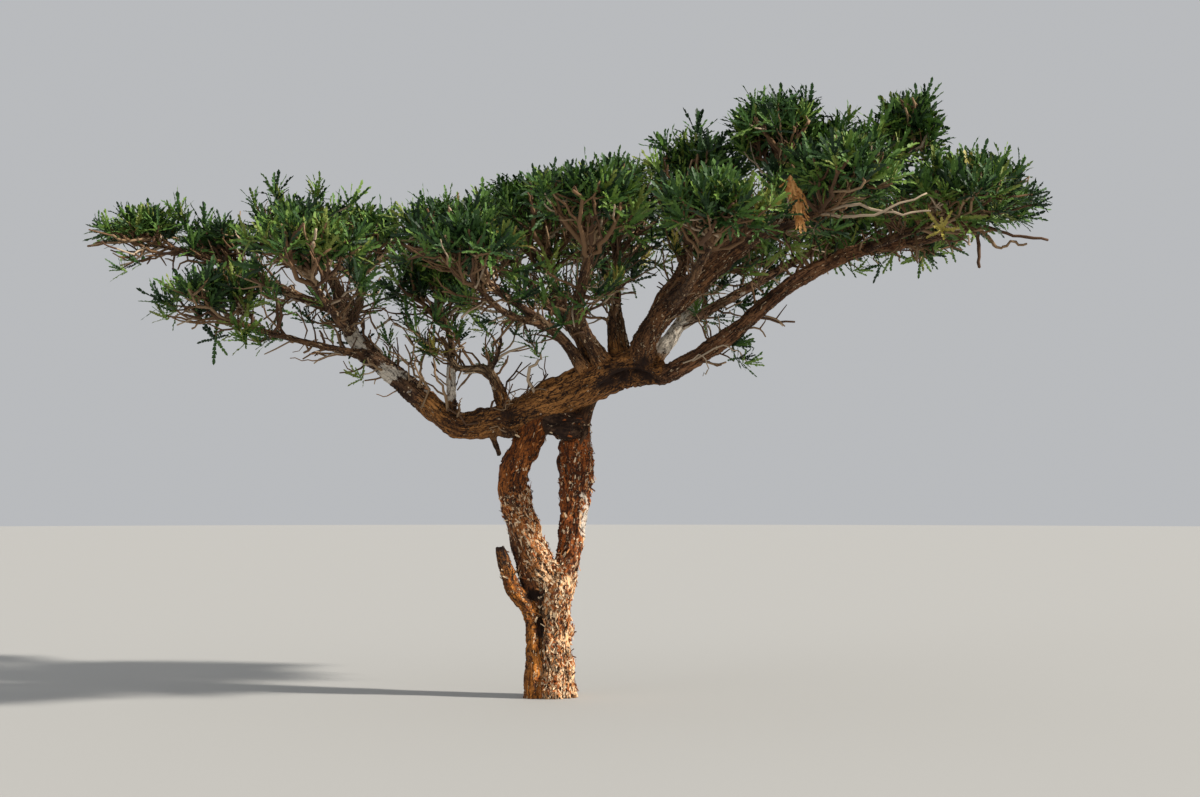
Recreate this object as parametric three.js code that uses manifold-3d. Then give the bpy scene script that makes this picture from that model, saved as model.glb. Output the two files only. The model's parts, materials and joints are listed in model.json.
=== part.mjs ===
// A frankincense tree at its real size: a forked trunk, the crooked boughs that spring from one
// heavy hub, and the masses of foliage that the boughs carry.
// Millimetres, +Z up, +X to the right of the usual view, +Y away from the viewer.
// The origin is the centre of the trunk's flat cut at ground level.

import * as THREE from "three";
import { mergeVertices } from "three/addons/utils/BufferGeometryUtils.js";
import Module from "manifold-3d";

const wasm = await Module();
wasm.setup();

// Clearance between pieces that touch.
const JOIN_GAP = 0.35;

// The trunk's foot: the limb runs this far below ground before the flat cut, and the root flare
// adds its spread at the ground and fades with its height.
const FOOT_DEPTH = 80;
const ROOT_SPREAD = 70;
const ROOT_HEIGHT = 170;
const ROOT_LOBES = 5;

// Knots and ridges on a limb, as a share of its radius.
const KNOBBLE = 0.06;

// The sides of a limb by its girth at the base, and the length of its steps: a share of that
// girth and a fixed length.
const LIMB_SIDES = [
  { girth: 170, sides: 12 },
  { girth: 90, sides: 8 },
  { girth: 0, sides: 5 },
];
const STEP_SHARE = 1.3;
const STEP_LENGTH = 70;
const LEAST_STEPS = 4;
const BEAD_STEP = 40;
const SLAB_SIDE = 3000;

// A mass of foliage: its heart lies beyond the bough's tip and above it. Twigs leave the stem one
// below the other and run out to a share of the space, the lowest a little below level.
const HEART_LEAD = 60;
const HEART_RISE = 70;
const STEM_BEND = 0.7;
const STEM_TAPER = [0.9, 0.9, 0.63];
const STEM_STEP = 22;
const TWIGS = 5;
const TWIG_SHARE = [0.39, 0.53];
const TWIG_DIP = 0.35;
const TWIG_TURNS = [0, 0.4, -0.4, 0.8, -0.8];
const TWIG_GIRTH = [30, 18];

// The blades at a twig's end. Each stands for a spray of leaves, so it is larger than a leaf: its
// width, thickness and waist are shares of its length. One that has no room is made shorter by
// steps. Its root is sunk in the twig.
const BLADE_SPLAYS = [0, 0.9, -0.9];
const SPLAY_SPREAD = [0.8, 1.2];
const SPLAY_TILT = 0.6;
const BLADE_STEP = 50;
const BLADE_LIFT = [0.09, 0.35];
const BLADE_LENGTH = [470, 620];
const BLADE_LEAST = 110;
const BLADE_TRIM = 45;
const BLADE_WIDTH = 0.46;
const BLADE_THICKNESS = 0.17;
const BLADE_WAIST = 0.5;
const BLADE_ROLL = 0.9;
const STALK_GIRTH = 8;
const ROOT_SINK = 26;

// What a mass keeps clear: half the gap between two masses, and the gap to a limb, which a twig
// keeps from this share of its run on.
const SPACE_GAP = 4;
const LIMB_GAP = 12;
const CLEAR_FROM = 0.4;

// Each mass draws its twigs from a seed of its own, counted up from this one.
const FIRST_SEED = 1000;

const UPRIGHT = new THREE.Vector3(0, 0, 1);
const GOLDEN_ANGLE = Math.PI * (3 - Math.sqrt(5));

const bark = {
  trunk: { color: 0xa9713f, roughness: 0.9 },
  bough: { color: 0x94714f, roughness: 0.88 },
  thin: { color: 0x7c5b40, roughness: 0.88 },
};
const foliage = { color: 0x3f6b2c, roughness: 0.7 };

// Each limb leaves a place on an earlier one ("on", and "at" as a share of its run), or starts
// at a point of its own ("from"), passes through the points of "via" and ends at "tip".
// "girth" holds its diameters, evenly spaced from base to tip. A limb with a "crown" carries a
// mass of foliage that reaches that far to the side, in depth and in height.
const limbs = [
  {
    name: "main_bough", from: [-905, -74, 2185], girth: [176, 214, 235, 280, 300, 290, 210],
    via: [[-690, -54, 2075], [-370, -20, 2140], [-70, 0, 2235], [240, 0, 2380], [550, 0, 2510]],
    tip: [800, 0, 2490], finish: "trunk",
  },
  {
    name: "trunk", from: [0, 0, -FOOT_DEPTH], girth: [270, 262, 250, 250, 256],
    via: [[5, 0, 220], [12, 0, 520]], tip: [15, 0, 850], finish: "trunk", foot: true,
  },
  {
    name: "left_stem_lower", on: "trunk", at: 1, girth: [236, 236, 228],
    via: [[-160, 0, 1090]], tip: [-290, 0, 1450], finish: "trunk",
  },
  {
    name: "left_stem_upper", on: "left_stem_lower", at: 0.97, girth: [228, 226, 216, 214],
    via: [[-305, 0, 1640], [-230, 0, 1880]], tip: [-110, 0, 2170], finish: "trunk",
  },
  {
    name: "right_stem", on: "trunk", at: 0.86, girth: [196, 192, 192, 206, 236, 264, 140],
    via: [[110, 60, 1060], [155, 90, 1390], [172, 90, 1690]], tip: [150, 80, 2040],
    finish: "trunk",
  },
  {
    name: "basal_stem", from: [-150, -60, -FOOT_DEPTH], girth: [150, 126, 116, 118, 96],
    via: [[-146, -65, 440], [-172, -65, 680], [-290, -85, 890]], tip: [-412, -100, 1130],
    finish: "trunk", foot: true,
  },
  {
    name: "stem_brace", on: "right_stem", at: 0.88, girth: [124, 112, 118],
    via: [[250, 50, 2200]], tip: [340, 30, 2400], finish: "bough",
  },
  // The left side: one bough that sweeps up from the bend and divides again and again.
  {
    name: "left_bough", on: "main_bough", at: 0, girth: [182, 150, 124, 112, 104],
    via: [[-1120, -100, 2380], [-1360, -100, 2570], [-1550, -80, 2780]],
    tip: [-1630, -60, 2990], finish: "bough",
  },
  {
    name: "left_high_bough", on: "left_bough", at: 0.98, girth: [96, 84, 64],
    via: [[-1720, 0, 3210]], tip: [-1990, 90, 3480], crown: [700, 700, 430],
  },
  {
    name: "left_mid_bough", on: "left_bough", at: 0.93, girth: [80, 70, 54],
    via: [[-2020, -120, 3090]], tip: [-2480, -170, 3310], crown: [600, 640, 400],
  },
  {
    name: "left_tip_bough", on: "left_mid_bough", at: 0.8, girth: [50, 42, 32],
    via: [[-2640, -330, 3340]], tip: [-3020, -240, 3440], crown: [640, 640, 390],
  },
  {
    name: "left_low_bough", on: "left_bough", at: 0.53, girth: [66, 58, 48, 38],
    via: [[-1680, -290, 2650], [-2150, -420, 2760]], tip: [-2430, -430, 2850],
    crown: [680, 500, 340],
  },
  {
    name: "left_near_bough", on: "left_bough", at: 0.74, girth: [76, 64, 50],
    via: [[-1590, -520, 2850]], tip: [-1700, -960, 3050], crown: [780, 740, 430],
  },
  {
    name: "left_back_bough", on: "left_bough", at: 0.86, girth: [78, 66, 50],
    via: [[-1560, 380, 3060]], tip: [-1640, 860, 3480], crown: [780, 760, 450],
  },
  {
    name: "inner_left_bough", on: "main_bough", at: 0.1, girth: [72, 62, 52, 46],
    via: [[-790, -20, 2480], [-800, 40, 2740]], tip: [-880, 60, 2960], crown: [700, 680, 430],
  },
  // The hub: boughs that fan out to every side from the main bough's thick end.
  {
    name: "front_left_bough", on: "main_bough", at: 0.7, girth: [98, 80, 66, 54],
    via: [[60, -260, 2730], [-280, -400, 2980]], tip: [-720, -470, 3290],
    crown: [740, 660, 440],
  },
  {
    name: "front_low_bough", on: "front_left_bough", at: 0.45, girth: [56, 48, 38],
    via: [[-330, -680, 2870]], tip: [-520, -1150, 3010], crown: [780, 760, 430],
  },
  {
    name: "back_left_bough", on: "main_bough", at: 0.76, girth: [92, 78, 66, 52],
    via: [[80, 320, 2930], [-160, 640, 3200]], tip: [-420, 900, 3520],
    crown: [760, 760, 460],
  },
  {
    name: "front_bough", on: "main_bough", at: 0.77, girth: [100, 90, 84, 66],
    via: [[235, -300, 2790], [205, -620, 2950]], tip: [300, -1200, 3290],
    crown: [780, 780, 460],
  },
  {
    name: "middle_bough", on: "main_bough", at: 0.74, girth: [104, 92, 80, 60],
    via: [[140, 60, 2900], [10, 30, 3120]], tip: [-60, 0, 3480], crown: [760, 700, 450],
  },
  {
    name: "back_bough", on: "main_bough", at: 0.84, girth: [84, 76, 68, 54],
    via: [[500, 260, 2980], [480, 460, 3260]], tip: [520, 640, 3720], crown: [760, 700, 460],
  },
  {
    name: "far_back_bough", on: "back_bough", at: 0.5, girth: [60, 52, 42],
    via: [[440, 980, 3240]], tip: [360, 1500, 3600], crown: [860, 780, 440],
  },
  {
    name: "steep_bough", on: "main_bough", at: 0.88, girth: [108, 98, 92, 76],
    via: [[830, 110, 3050], [1000, 170, 3300]], tip: [1120, 220, 3760],
    crown: [720, 680, 560],
  },
  {
    name: "thick_bough", on: "main_bough", at: 0.9, girth: [180, 178, 176, 164, 136, 108],
    via: [[760, -190, 2820], [1090, -320, 3150], [1570, -350, 3540]], tip: [2010, -280, 3690],
    crown: [760, 700, 580], finish: "bough",
  },
  {
    name: "near_bough", on: "thick_bough", at: 0.36, girth: [80, 66, 50],
    via: [[1000, -840, 3060]], tip: [1130, -1330, 3270], crown: [820, 760, 440],
  },
  {
    name: "near_right_bough", on: "thick_bough", at: 0.66, girth: [76, 62, 48],
    via: [[1680, -780, 3480]], tip: [1960, -1130, 3560], crown: [780, 700, 440],
  },
  {
    name: "crest_bough", on: "thick_bough", at: 0.62, girth: [84, 72, 56],
    via: [[1640, -200, 3820]], tip: [1720, -60, 4090], crown: [720, 680, 530],
  },
  {
    name: "spire_bough", on: "thick_bough", at: 0.84, girth: [70, 58, 44],
    via: [[2300, -60, 3900]], tip: [2830, 150, 4260], crown: [450, 420, 640],
  },
  {
    name: "pale_bough", on: "main_bough", at: 0.95, girth: [124, 104, 84, 66],
    via: [[980, 170, 2870], [1130, 420, 3110]], tip: [1330, 860, 3440],
    crown: [780, 760, 440],
  },
  {
    name: "pale_side_bough", on: "pale_bough", at: 0.32, girth: [86, 80, 70, 58],
    via: [[1350, 380, 3080], [1800, 640, 3360]], tip: [2200, 850, 3600],
    crown: [800, 740, 460],
  },
  {
    name: "right_low_bough", on: "main_bough", at: 1, girth: [172, 146, 126, 112, 104, 92],
    via: [[870, -60, 2460], [1330, -120, 2740], [1820, -100, 3150], [2290, -80, 3400]],
    tip: [2700, -40, 3480], finish: "bough",
  },
  {
    name: "right_tip_bough", on: "right_low_bough", at: 0.98, girth: [78, 66, 46],
    via: [[3000, 0, 3550]], tip: [3220, 60, 3680], crown: [630, 640, 430],
  },
  {
    name: "right_back_bough", on: "right_low_bough", at: 0.93, girth: [60, 52, 42],
    via: [[2760, 330, 3560]], tip: [2960, 720, 3620], crown: [700, 700, 420],
  },
  {
    name: "right_near_bough", on: "right_low_bough", at: 0.86, girth: [66, 56, 44],
    via: [[2600, -440, 3480]], tip: [2860, -760, 3540], crown: [740, 700, 420],
  },
];

// A seeded stream of numbers from 0 to 1 (mulberry32).
function randomStream(seed) {
  let state = seed >>> 0;
  return () => {
    state = (state + 0x6d2b79f5) >>> 0;
    let t = Math.imul(state ^ (state >>> 15), 1 | state);
    t = (t + Math.imul(t ^ (t >>> 7), 61 | t)) ^ t;
    return ((t ^ (t >>> 14)) >>> 0) / 4294967296;
  };
}

// A number of the stream between two limits.
function between([low, high], random) {
  return low + (high - low) * random();
}

// The value at share t of a list of numbers that are evenly spaced from 0 to 1.
function along(values, t) {
  const place = Math.min(Math.max(t, 0), 1) * (values.length - 1);
  const i = Math.min(Math.floor(place), values.length - 2);
  return values[i] + (values[i + 1] - values[i]) * (place - i);
}

// A closed surface as a solid that can be joined and cut.
function solidFrom(geometry) {
  const bare = geometry.clone();
  bare.deleteAttribute("normal");
  bare.deleteAttribute("uv");
  const merged = mergeVertices(bare, 1e-3);
  return new wasm.Manifold(
    new wasm.Mesh({
      numProp: 3,
      vertProperties: new Float32Array(merged.attributes.position.array),
      triVerts: new Uint32Array(merged.index.array),
    }),
  );
}

// A solid as a surface again.
function geometryFrom(solid) {
  const mesh = solid.getMesh();
  const geometry = new THREE.BufferGeometry();
  geometry.setAttribute("position", new THREE.BufferAttribute(mesh.vertProperties, 3));
  geometry.setIndex(new THREE.BufferAttribute(mesh.triVerts, 1));
  geometry.computeVertexNormals();
  return geometry;
}

// The largest of a solid's separate bodies.
function largest(solid) {
  return solid.decompose().reduce((best, body) => (body.volume() > best.volume() ? body : best));
}

// The centre line of a limb.
function centreLine(limb, lines) {
  const start = limb.on
    ? lines[limb.on].getPoint(limb.at)
    : new THREE.Vector3(...limb.from);
  const rest = [...(limb.via ?? []), limb.tip].map((p) => new THREE.Vector3(...p));
  return new THREE.CatmullRomCurve3([start, ...rest], false, "catmullrom", 0.5);
}

// The axis that a limb's cross-sections are measured from: the one least in line with the limb.
function sideAxis(line) {
  const chord = line.getPoint(1).sub(line.getPoint(0));
  const sizes = chord.toArray().map(Math.abs);
  const least = sizes.indexOf(Math.min(...sizes));
  return new THREE.Vector3().setComponent(least, 1);
}

// A limb's radius at share t of its run and angle round it, with knots that turn slowly along it.
function limbRadius(limb, phase, t, angle, height) {
  const knots = Math.sin(2 * angle + phase + 5 * t) + 0.6 * Math.sin(3 * angle - 7 * t + 2 * phase);
  let radius = (along(limb.girth, t) / 2) * (1 + KNOBBLE * knots);
  if (limb.name === "trunk") {
    const lobe = 0.65 + 0.35 * Math.cos(ROOT_LOBES * angle + phase);
    radius += ROOT_SPREAD * lobe * Math.exp(-Math.max(height, 0) / ROOT_HEIGHT);
  }
  return radius;
}

// A limb as a cylinder bent along its centre line. "grow" makes it that much fatter and longer.
function limbSolid(limb, line, phase, grow) {
  const { sides } = LIMB_SIDES.find((size) => limb.girth[0] > size.girth);
  const step = STEP_SHARE * limb.girth[0] + STEP_LENGTH;
  const steps = Math.max(LEAST_STEPS, Math.round(line.getLength() / step));
  const cylinder = new THREE.CylinderGeometry(1, 1, 1, sides, steps);
  const axis = sideAxis(line);
  const points = cylinder.attributes.position;
  for (let i = 0; i < points.count; i++) {
    const t = points.getY(i) + 0.5;
    const centre = line.getPoint(t);
    const tangent = line.getTangent(t);
    const across = new THREE.Vector3().crossVectors(tangent, axis).normalize();
    const up = new THREE.Vector3().crossVectors(across, tangent);
    const [x, z] = [points.getX(i), points.getZ(i)];
    const radius = limbRadius(limb, phase, t, Math.atan2(z, x), centre.z) + grow;
    if (t < 1e-6) centre.addScaledVector(tangent, -grow);
    if (t > 1 - 1e-6) centre.addScaledVector(tangent, grow);
    centre.addScaledVector(across, x * radius).addScaledVector(up, z * radius);
    points.setXYZ(i, ...centre.toArray());
  }
  return solidFrom(cylinder);
}

// The ground, as a slab that trims the foot of the trunk flat.
function groundSlab() {
  const slab = new THREE.BoxGeometry(SLAB_SIDE, SLAB_SIDE, SLAB_SIDE);
  slab.translate(0, 0, -SLAB_SIDE / 2);
  return solidFrom(slab);
}

// The space of each mass: an ellipsoid round its heart, cut by a plane half way to each
// neighbour's heart, as their sizes share the distance.
function massSpaces(carriers, lines) {
  const spaces = carriers.map((limb) => {
    const line = lines[limb.name];
    const tip = line.getPoint(1);
    const heading = line.getTangent(1);
    const heart = tip.clone().addScaledVector(heading, HEART_LEAD);
    heart.z += HEART_RISE;
    return { tip, heading, heart, reach: limb.crown, planes: [] };
  });
  const size = (space) => Math.cbrt(space.reach[0] * space.reach[1] * space.reach[2]);
  for (const space of spaces)
    for (const other of spaces) {
      if (other === space) continue;
      const normal = other.heart.clone().sub(space.heart);
      const distance = normal.length();
      const share = size(space) / (size(space) + size(other));
      space.planes.push({ normal: normal.normalize(), offset: distance * share - SPACE_GAP });
    }
  return spaces;
}

// How far a mass reaches from its heart along a direction.
function reachAlong(space, direction) {
  const [rx, ry, rz] = space.reach;
  let reach = 1 / Math.hypot(direction.x / rx, direction.y / ry, direction.z / rz);
  for (const plane of space.planes) {
    const facing = plane.normal.dot(direction);
    if (facing > 1e-6) reach = Math.min(reach, plane.offset / facing);
  }
  return reach;
}

// Whether a point lies in a mass's space.
function inSpace(space, point) {
  const out = point.clone().sub(space.heart);
  const length = out.length();
  return length < 1 || length <= reachAlong(space, out.divideScalar(length));
}

// A three-sided solid that runs through rings, each with a centre, a width and a depth, to a point.
function spindle(rings, roll) {
  const form = new THREE.CylinderGeometry(0, 1, 1, 3, rings.length - 1);
  const chord = rings.at(-1).centre.clone().sub(rings[0].centre).normalize();
  const side = new THREE.Vector3(0, 0, 1).cross(chord);
  if (side.lengthSq() < 1e-4) side.set(0, 1, 0);
  side.normalize().applyAxisAngle(chord, roll);
  const top = new THREE.Vector3().crossVectors(side, chord);
  const points = form.attributes.position;
  for (let i = 0; i < points.count; i++) {
    const [x, z] = [points.getX(i), points.getZ(i)];
    const ring = rings[Math.round((points.getY(i) + 0.5) * (rings.length - 1))];
    const out = Math.max(2 * Math.hypot(x, z), 1e-9);
    const corner = ring.centre
      .clone()
      .addScaledVector(side, (x / out) * ring.width)
      .addScaledVector(top, (z / out) * ring.depth);
    points.setXYZ(i, ...corner.toArray());
  }
  return form;
}

// A round stretch of twig, as a ring.
function twigRing(centre, girth) {
  return { centre, width: girth, depth: girth };
}

// A leaf blade that stands for a spray, as the rings at its waist and its tip.
function bladeRings(root, heading, length) {
  const waist = root.clone().addScaledVector(heading, length * BLADE_WAIST);
  return [
    { centre: waist, width: length * BLADE_WIDTH, depth: length * BLADE_THICKNESS },
    { centre: root.clone().addScaledVector(heading, length), width: 0, depth: 0 },
  ];
}

// Points on the centre lines of all limbs, with the radius there, to keep twigs clear of them.
function limbBeads(limbList, lines) {
  return limbList.flatMap((limb) => {
    const count = Math.ceil(lines[limb.name].getLength() / BEAD_STEP);
    return Array.from({ length: count + 1 }, (_, i) => ({
      centre: lines[limb.name].getPoint(i / count),
      radius: (along(limb.girth, i / count) / 2) * (1 + 2 * KNOBBLE),
    }));
  });
}

// Whether a straight piece with a half width comes near a limb.
function touchesLimb(from, to, half, beads) {
  const piece = new THREE.Line3(from, to);
  const nearest = new THREE.Vector3();
  return beads.some(({ centre, radius }) => {
    piece.closestPointToPoint(centre, true, nearest);
    return nearest.distanceTo(centre) < radius + half + LIMB_GAP;
  });
}

// The directions of a mass's twigs: a golden spiral from the zenith down to a little below level.
function spiral(count, dip, phase) {
  return Array.from({ length: count }, (_, k) => {
    const rise = 1 - ((k + 0.5) / count) * (1 + dip);
    const out = Math.sqrt(1 - rise * rise);
    const turn = k * GOLDEN_ANGLE + phase;
    return new THREE.Vector3(out * Math.cos(turn), out * Math.sin(turn), rise);
  });
}

// A blade on top of the rings that carry it, as long as fits in the space and clear of the limbs.
function fittedBlade(carrier, root, heading, space, beads, random) {
  const longest = between(BLADE_LENGTH, random);
  const roll = BLADE_ROLL * (2 * random() - 1);
  for (let length = longest; length > BLADE_LEAST; length -= BLADE_TRIM) {
    const blade = bladeRings(root, heading, length);
    const form = spindle([...carrier, ...blade], roll);
    const corners = form.attributes.position;
    const past = length * BLADE_WAIST * 0.9;
    const inside = Array.from({ length: corners.count }, (_, i) =>
      new THREE.Vector3().fromBufferAttribute(corners, i),
    ).every((corner) => corner.distanceTo(root) < past || inSpace(space, corner));
    if (inside && !touchesLimb(root, blade[1].centre, blade[0].width / 3, beads)) return form;
  }
  return null;
}

// The directions of the blades at a twig's end: one leads on, and the others splay to each side.
// All are drawn up a little.
function bladeHeadings(direction, random) {
  const side = new THREE.Vector3(direction.y, -direction.x, 0);
  if (side.lengthSq() < 1e-4) side.set(1, 0, 0);
  side.normalize().applyAxisAngle(direction, SPLAY_TILT * (2 * random() - 1));
  return BLADE_SPLAYS.map((splay) => {
    const heading = direction.clone().addScaledVector(side, splay * between(SPLAY_SPREAD, random));
    heading.z += between(BLADE_LIFT, random);
    return heading.normalize();
  });
}

// A twig with its blades, as far as there is room for them along a direction. "base" holds the
// rings that the twig starts from, and its first blade is one piece with it.
function sprayForms(space, base, direction, beads, random) {
  const reach = reachAlong(space, direction) * between(TWIG_SHARE, random);
  const end = space.heart.clone().addScaledVector(direction, reach);
  const start = base.at(-1).centre;
  const course = end.clone().sub(start).normalize();
  const clear = start.clone().lerp(end, CLEAR_FROM);
  if (base.length < 2 && touchesLimb(clear, end, TWIG_GIRTH[0] / 2, beads)) return [];
  const [lead, ...splayed] = bladeHeadings(course, random);
  const twig = [...base, twigRing(end, TWIG_GIRTH[1])];
  const leading = fittedBlade(twig, end, lead, space, beads, random);
  if (!leading) return [];
  const sides = splayed.map((heading, step) => {
    const root = end.clone().addScaledVector(course, -step * BLADE_STEP - ROOT_SINK);
    return fittedBlade([twigRing(root, STALK_GIRTH)], root, heading, space, beads, random);
  });
  return [leading, ...sides.filter(Boolean)];
}

// A mass of foliage: a stem from the bough's tip through the heart, which runs on as the topmost
// twig, and further twigs that leave it one below the other. A twig without room is turned
// round the upright a little, and left out where that doesn't help.
function massSolid(space, limb, beads, grown, random) {
  const { tip, heading, heart } = space;
  const foot = tip.clone().addScaledVector(heading, JOIN_GAP);
  const bend = tip.clone().addScaledVector(heading, HEART_LEAD * STEM_BEND);
  const rise = heart.clone().sub(bend).normalize();
  const stem = [foot, bend, heart].map((centre, i) =>
    twigRing(centre, limb.girth.at(-1) * STEM_TAPER[i]),
  );
  const forms = [];
  spiral(TWIGS, TWIG_DIP, random() * 2 * Math.PI).forEach((direction, k) => {
    const start = heart.clone().addScaledVector(rise, -k * STEM_STEP);
    const base = k > 0 ? [twigRing(start, TWIG_GIRTH[0])] : stem;
    const sprays = TWIG_TURNS.map((turn) => {
      const turned = direction.clone().applyAxisAngle(UPRIGHT, turn);
      return sprayForms(space, base, turned, beads, random);
    });
    const full = Math.max(...sprays.map((spray) => spray.length));
    forms.push(...sprays.find((spray) => spray.length === full));
  });
  const mass = wasm.Manifold.union(forms.map(solidFrom));
  return largest(grown.reduce((rest, bough) => rest.subtract(bough), mass));
}

function material(finish) {
  return new THREE.MeshStandardMaterial({ ...finish, metalness: 0 });
}

function build() {
  const tree = new THREE.Group();
  const lines = {};
  const grown = [];
  const ground = groundSlab();
  limbs.forEach((limb, index) => {
    const line = centreLine(limb, lines);
    lines[limb.name] = line;
    let solid = limbSolid(limb, line, index, 0);
    if (limb.foot) solid = solid.subtract(ground);
    for (const earlier of grown) solid = solid.subtract(earlier);
    solid = largest(solid);
    grown.push(limbSolid(limb, line, index, JOIN_GAP));
    const mesh = new THREE.Mesh(geometryFrom(solid), material(bark[limb.finish ?? "thin"]));
    mesh.name = limb.name;
    tree.add(mesh);
  });
  const beads = limbBeads(limbs, lines);
  const carriers = limbs.filter((limb) => limb.crown);
  massSpaces(carriers, lines).forEach((space, index) => {
    const own = carriers[index];
    const solid = massSolid(space, own, beads, grown, randomStream(FIRST_SEED + index));
    const mesh = new THREE.Mesh(geometryFrom(solid), material(foliage));
    mesh.name = own.name.replace("_bough", "_foliage");
    tree.add(mesh);
  });
  return tree;
}

const tree = build();

export default tree;
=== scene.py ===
# A frankincense tree: flaking forked trunk, crooked boughs that fan out from one heavy hub, and a
# wide crown of stiff, toothed leaves in rosettes at the twigs' ends.
# Metres, +Z up, +X to the right of the usual view, +Y away from the viewer.

import json
import math

import bmesh
import bpy
import numpy as np
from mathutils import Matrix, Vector

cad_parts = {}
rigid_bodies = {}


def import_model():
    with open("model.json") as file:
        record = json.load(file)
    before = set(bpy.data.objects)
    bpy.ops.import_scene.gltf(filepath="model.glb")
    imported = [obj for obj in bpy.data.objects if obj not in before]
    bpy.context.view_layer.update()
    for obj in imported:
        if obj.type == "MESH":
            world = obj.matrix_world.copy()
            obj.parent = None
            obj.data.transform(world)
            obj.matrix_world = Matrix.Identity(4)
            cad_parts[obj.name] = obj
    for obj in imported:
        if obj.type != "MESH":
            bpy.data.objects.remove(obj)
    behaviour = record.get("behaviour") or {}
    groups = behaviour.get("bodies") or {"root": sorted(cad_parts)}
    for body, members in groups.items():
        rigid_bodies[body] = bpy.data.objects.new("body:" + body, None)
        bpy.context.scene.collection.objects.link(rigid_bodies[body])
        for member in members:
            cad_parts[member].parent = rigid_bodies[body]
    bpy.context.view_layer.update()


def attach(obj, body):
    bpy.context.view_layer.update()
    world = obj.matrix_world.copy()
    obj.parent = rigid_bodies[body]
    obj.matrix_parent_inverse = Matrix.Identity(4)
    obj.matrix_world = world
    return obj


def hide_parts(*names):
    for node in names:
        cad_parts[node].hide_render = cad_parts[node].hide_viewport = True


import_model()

MM = 0.001
GOLDEN_ANGLE = math.pi * (3 - math.sqrt(5))
UPWARDS = np.array([0.0, 0.0, 1.0])

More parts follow.
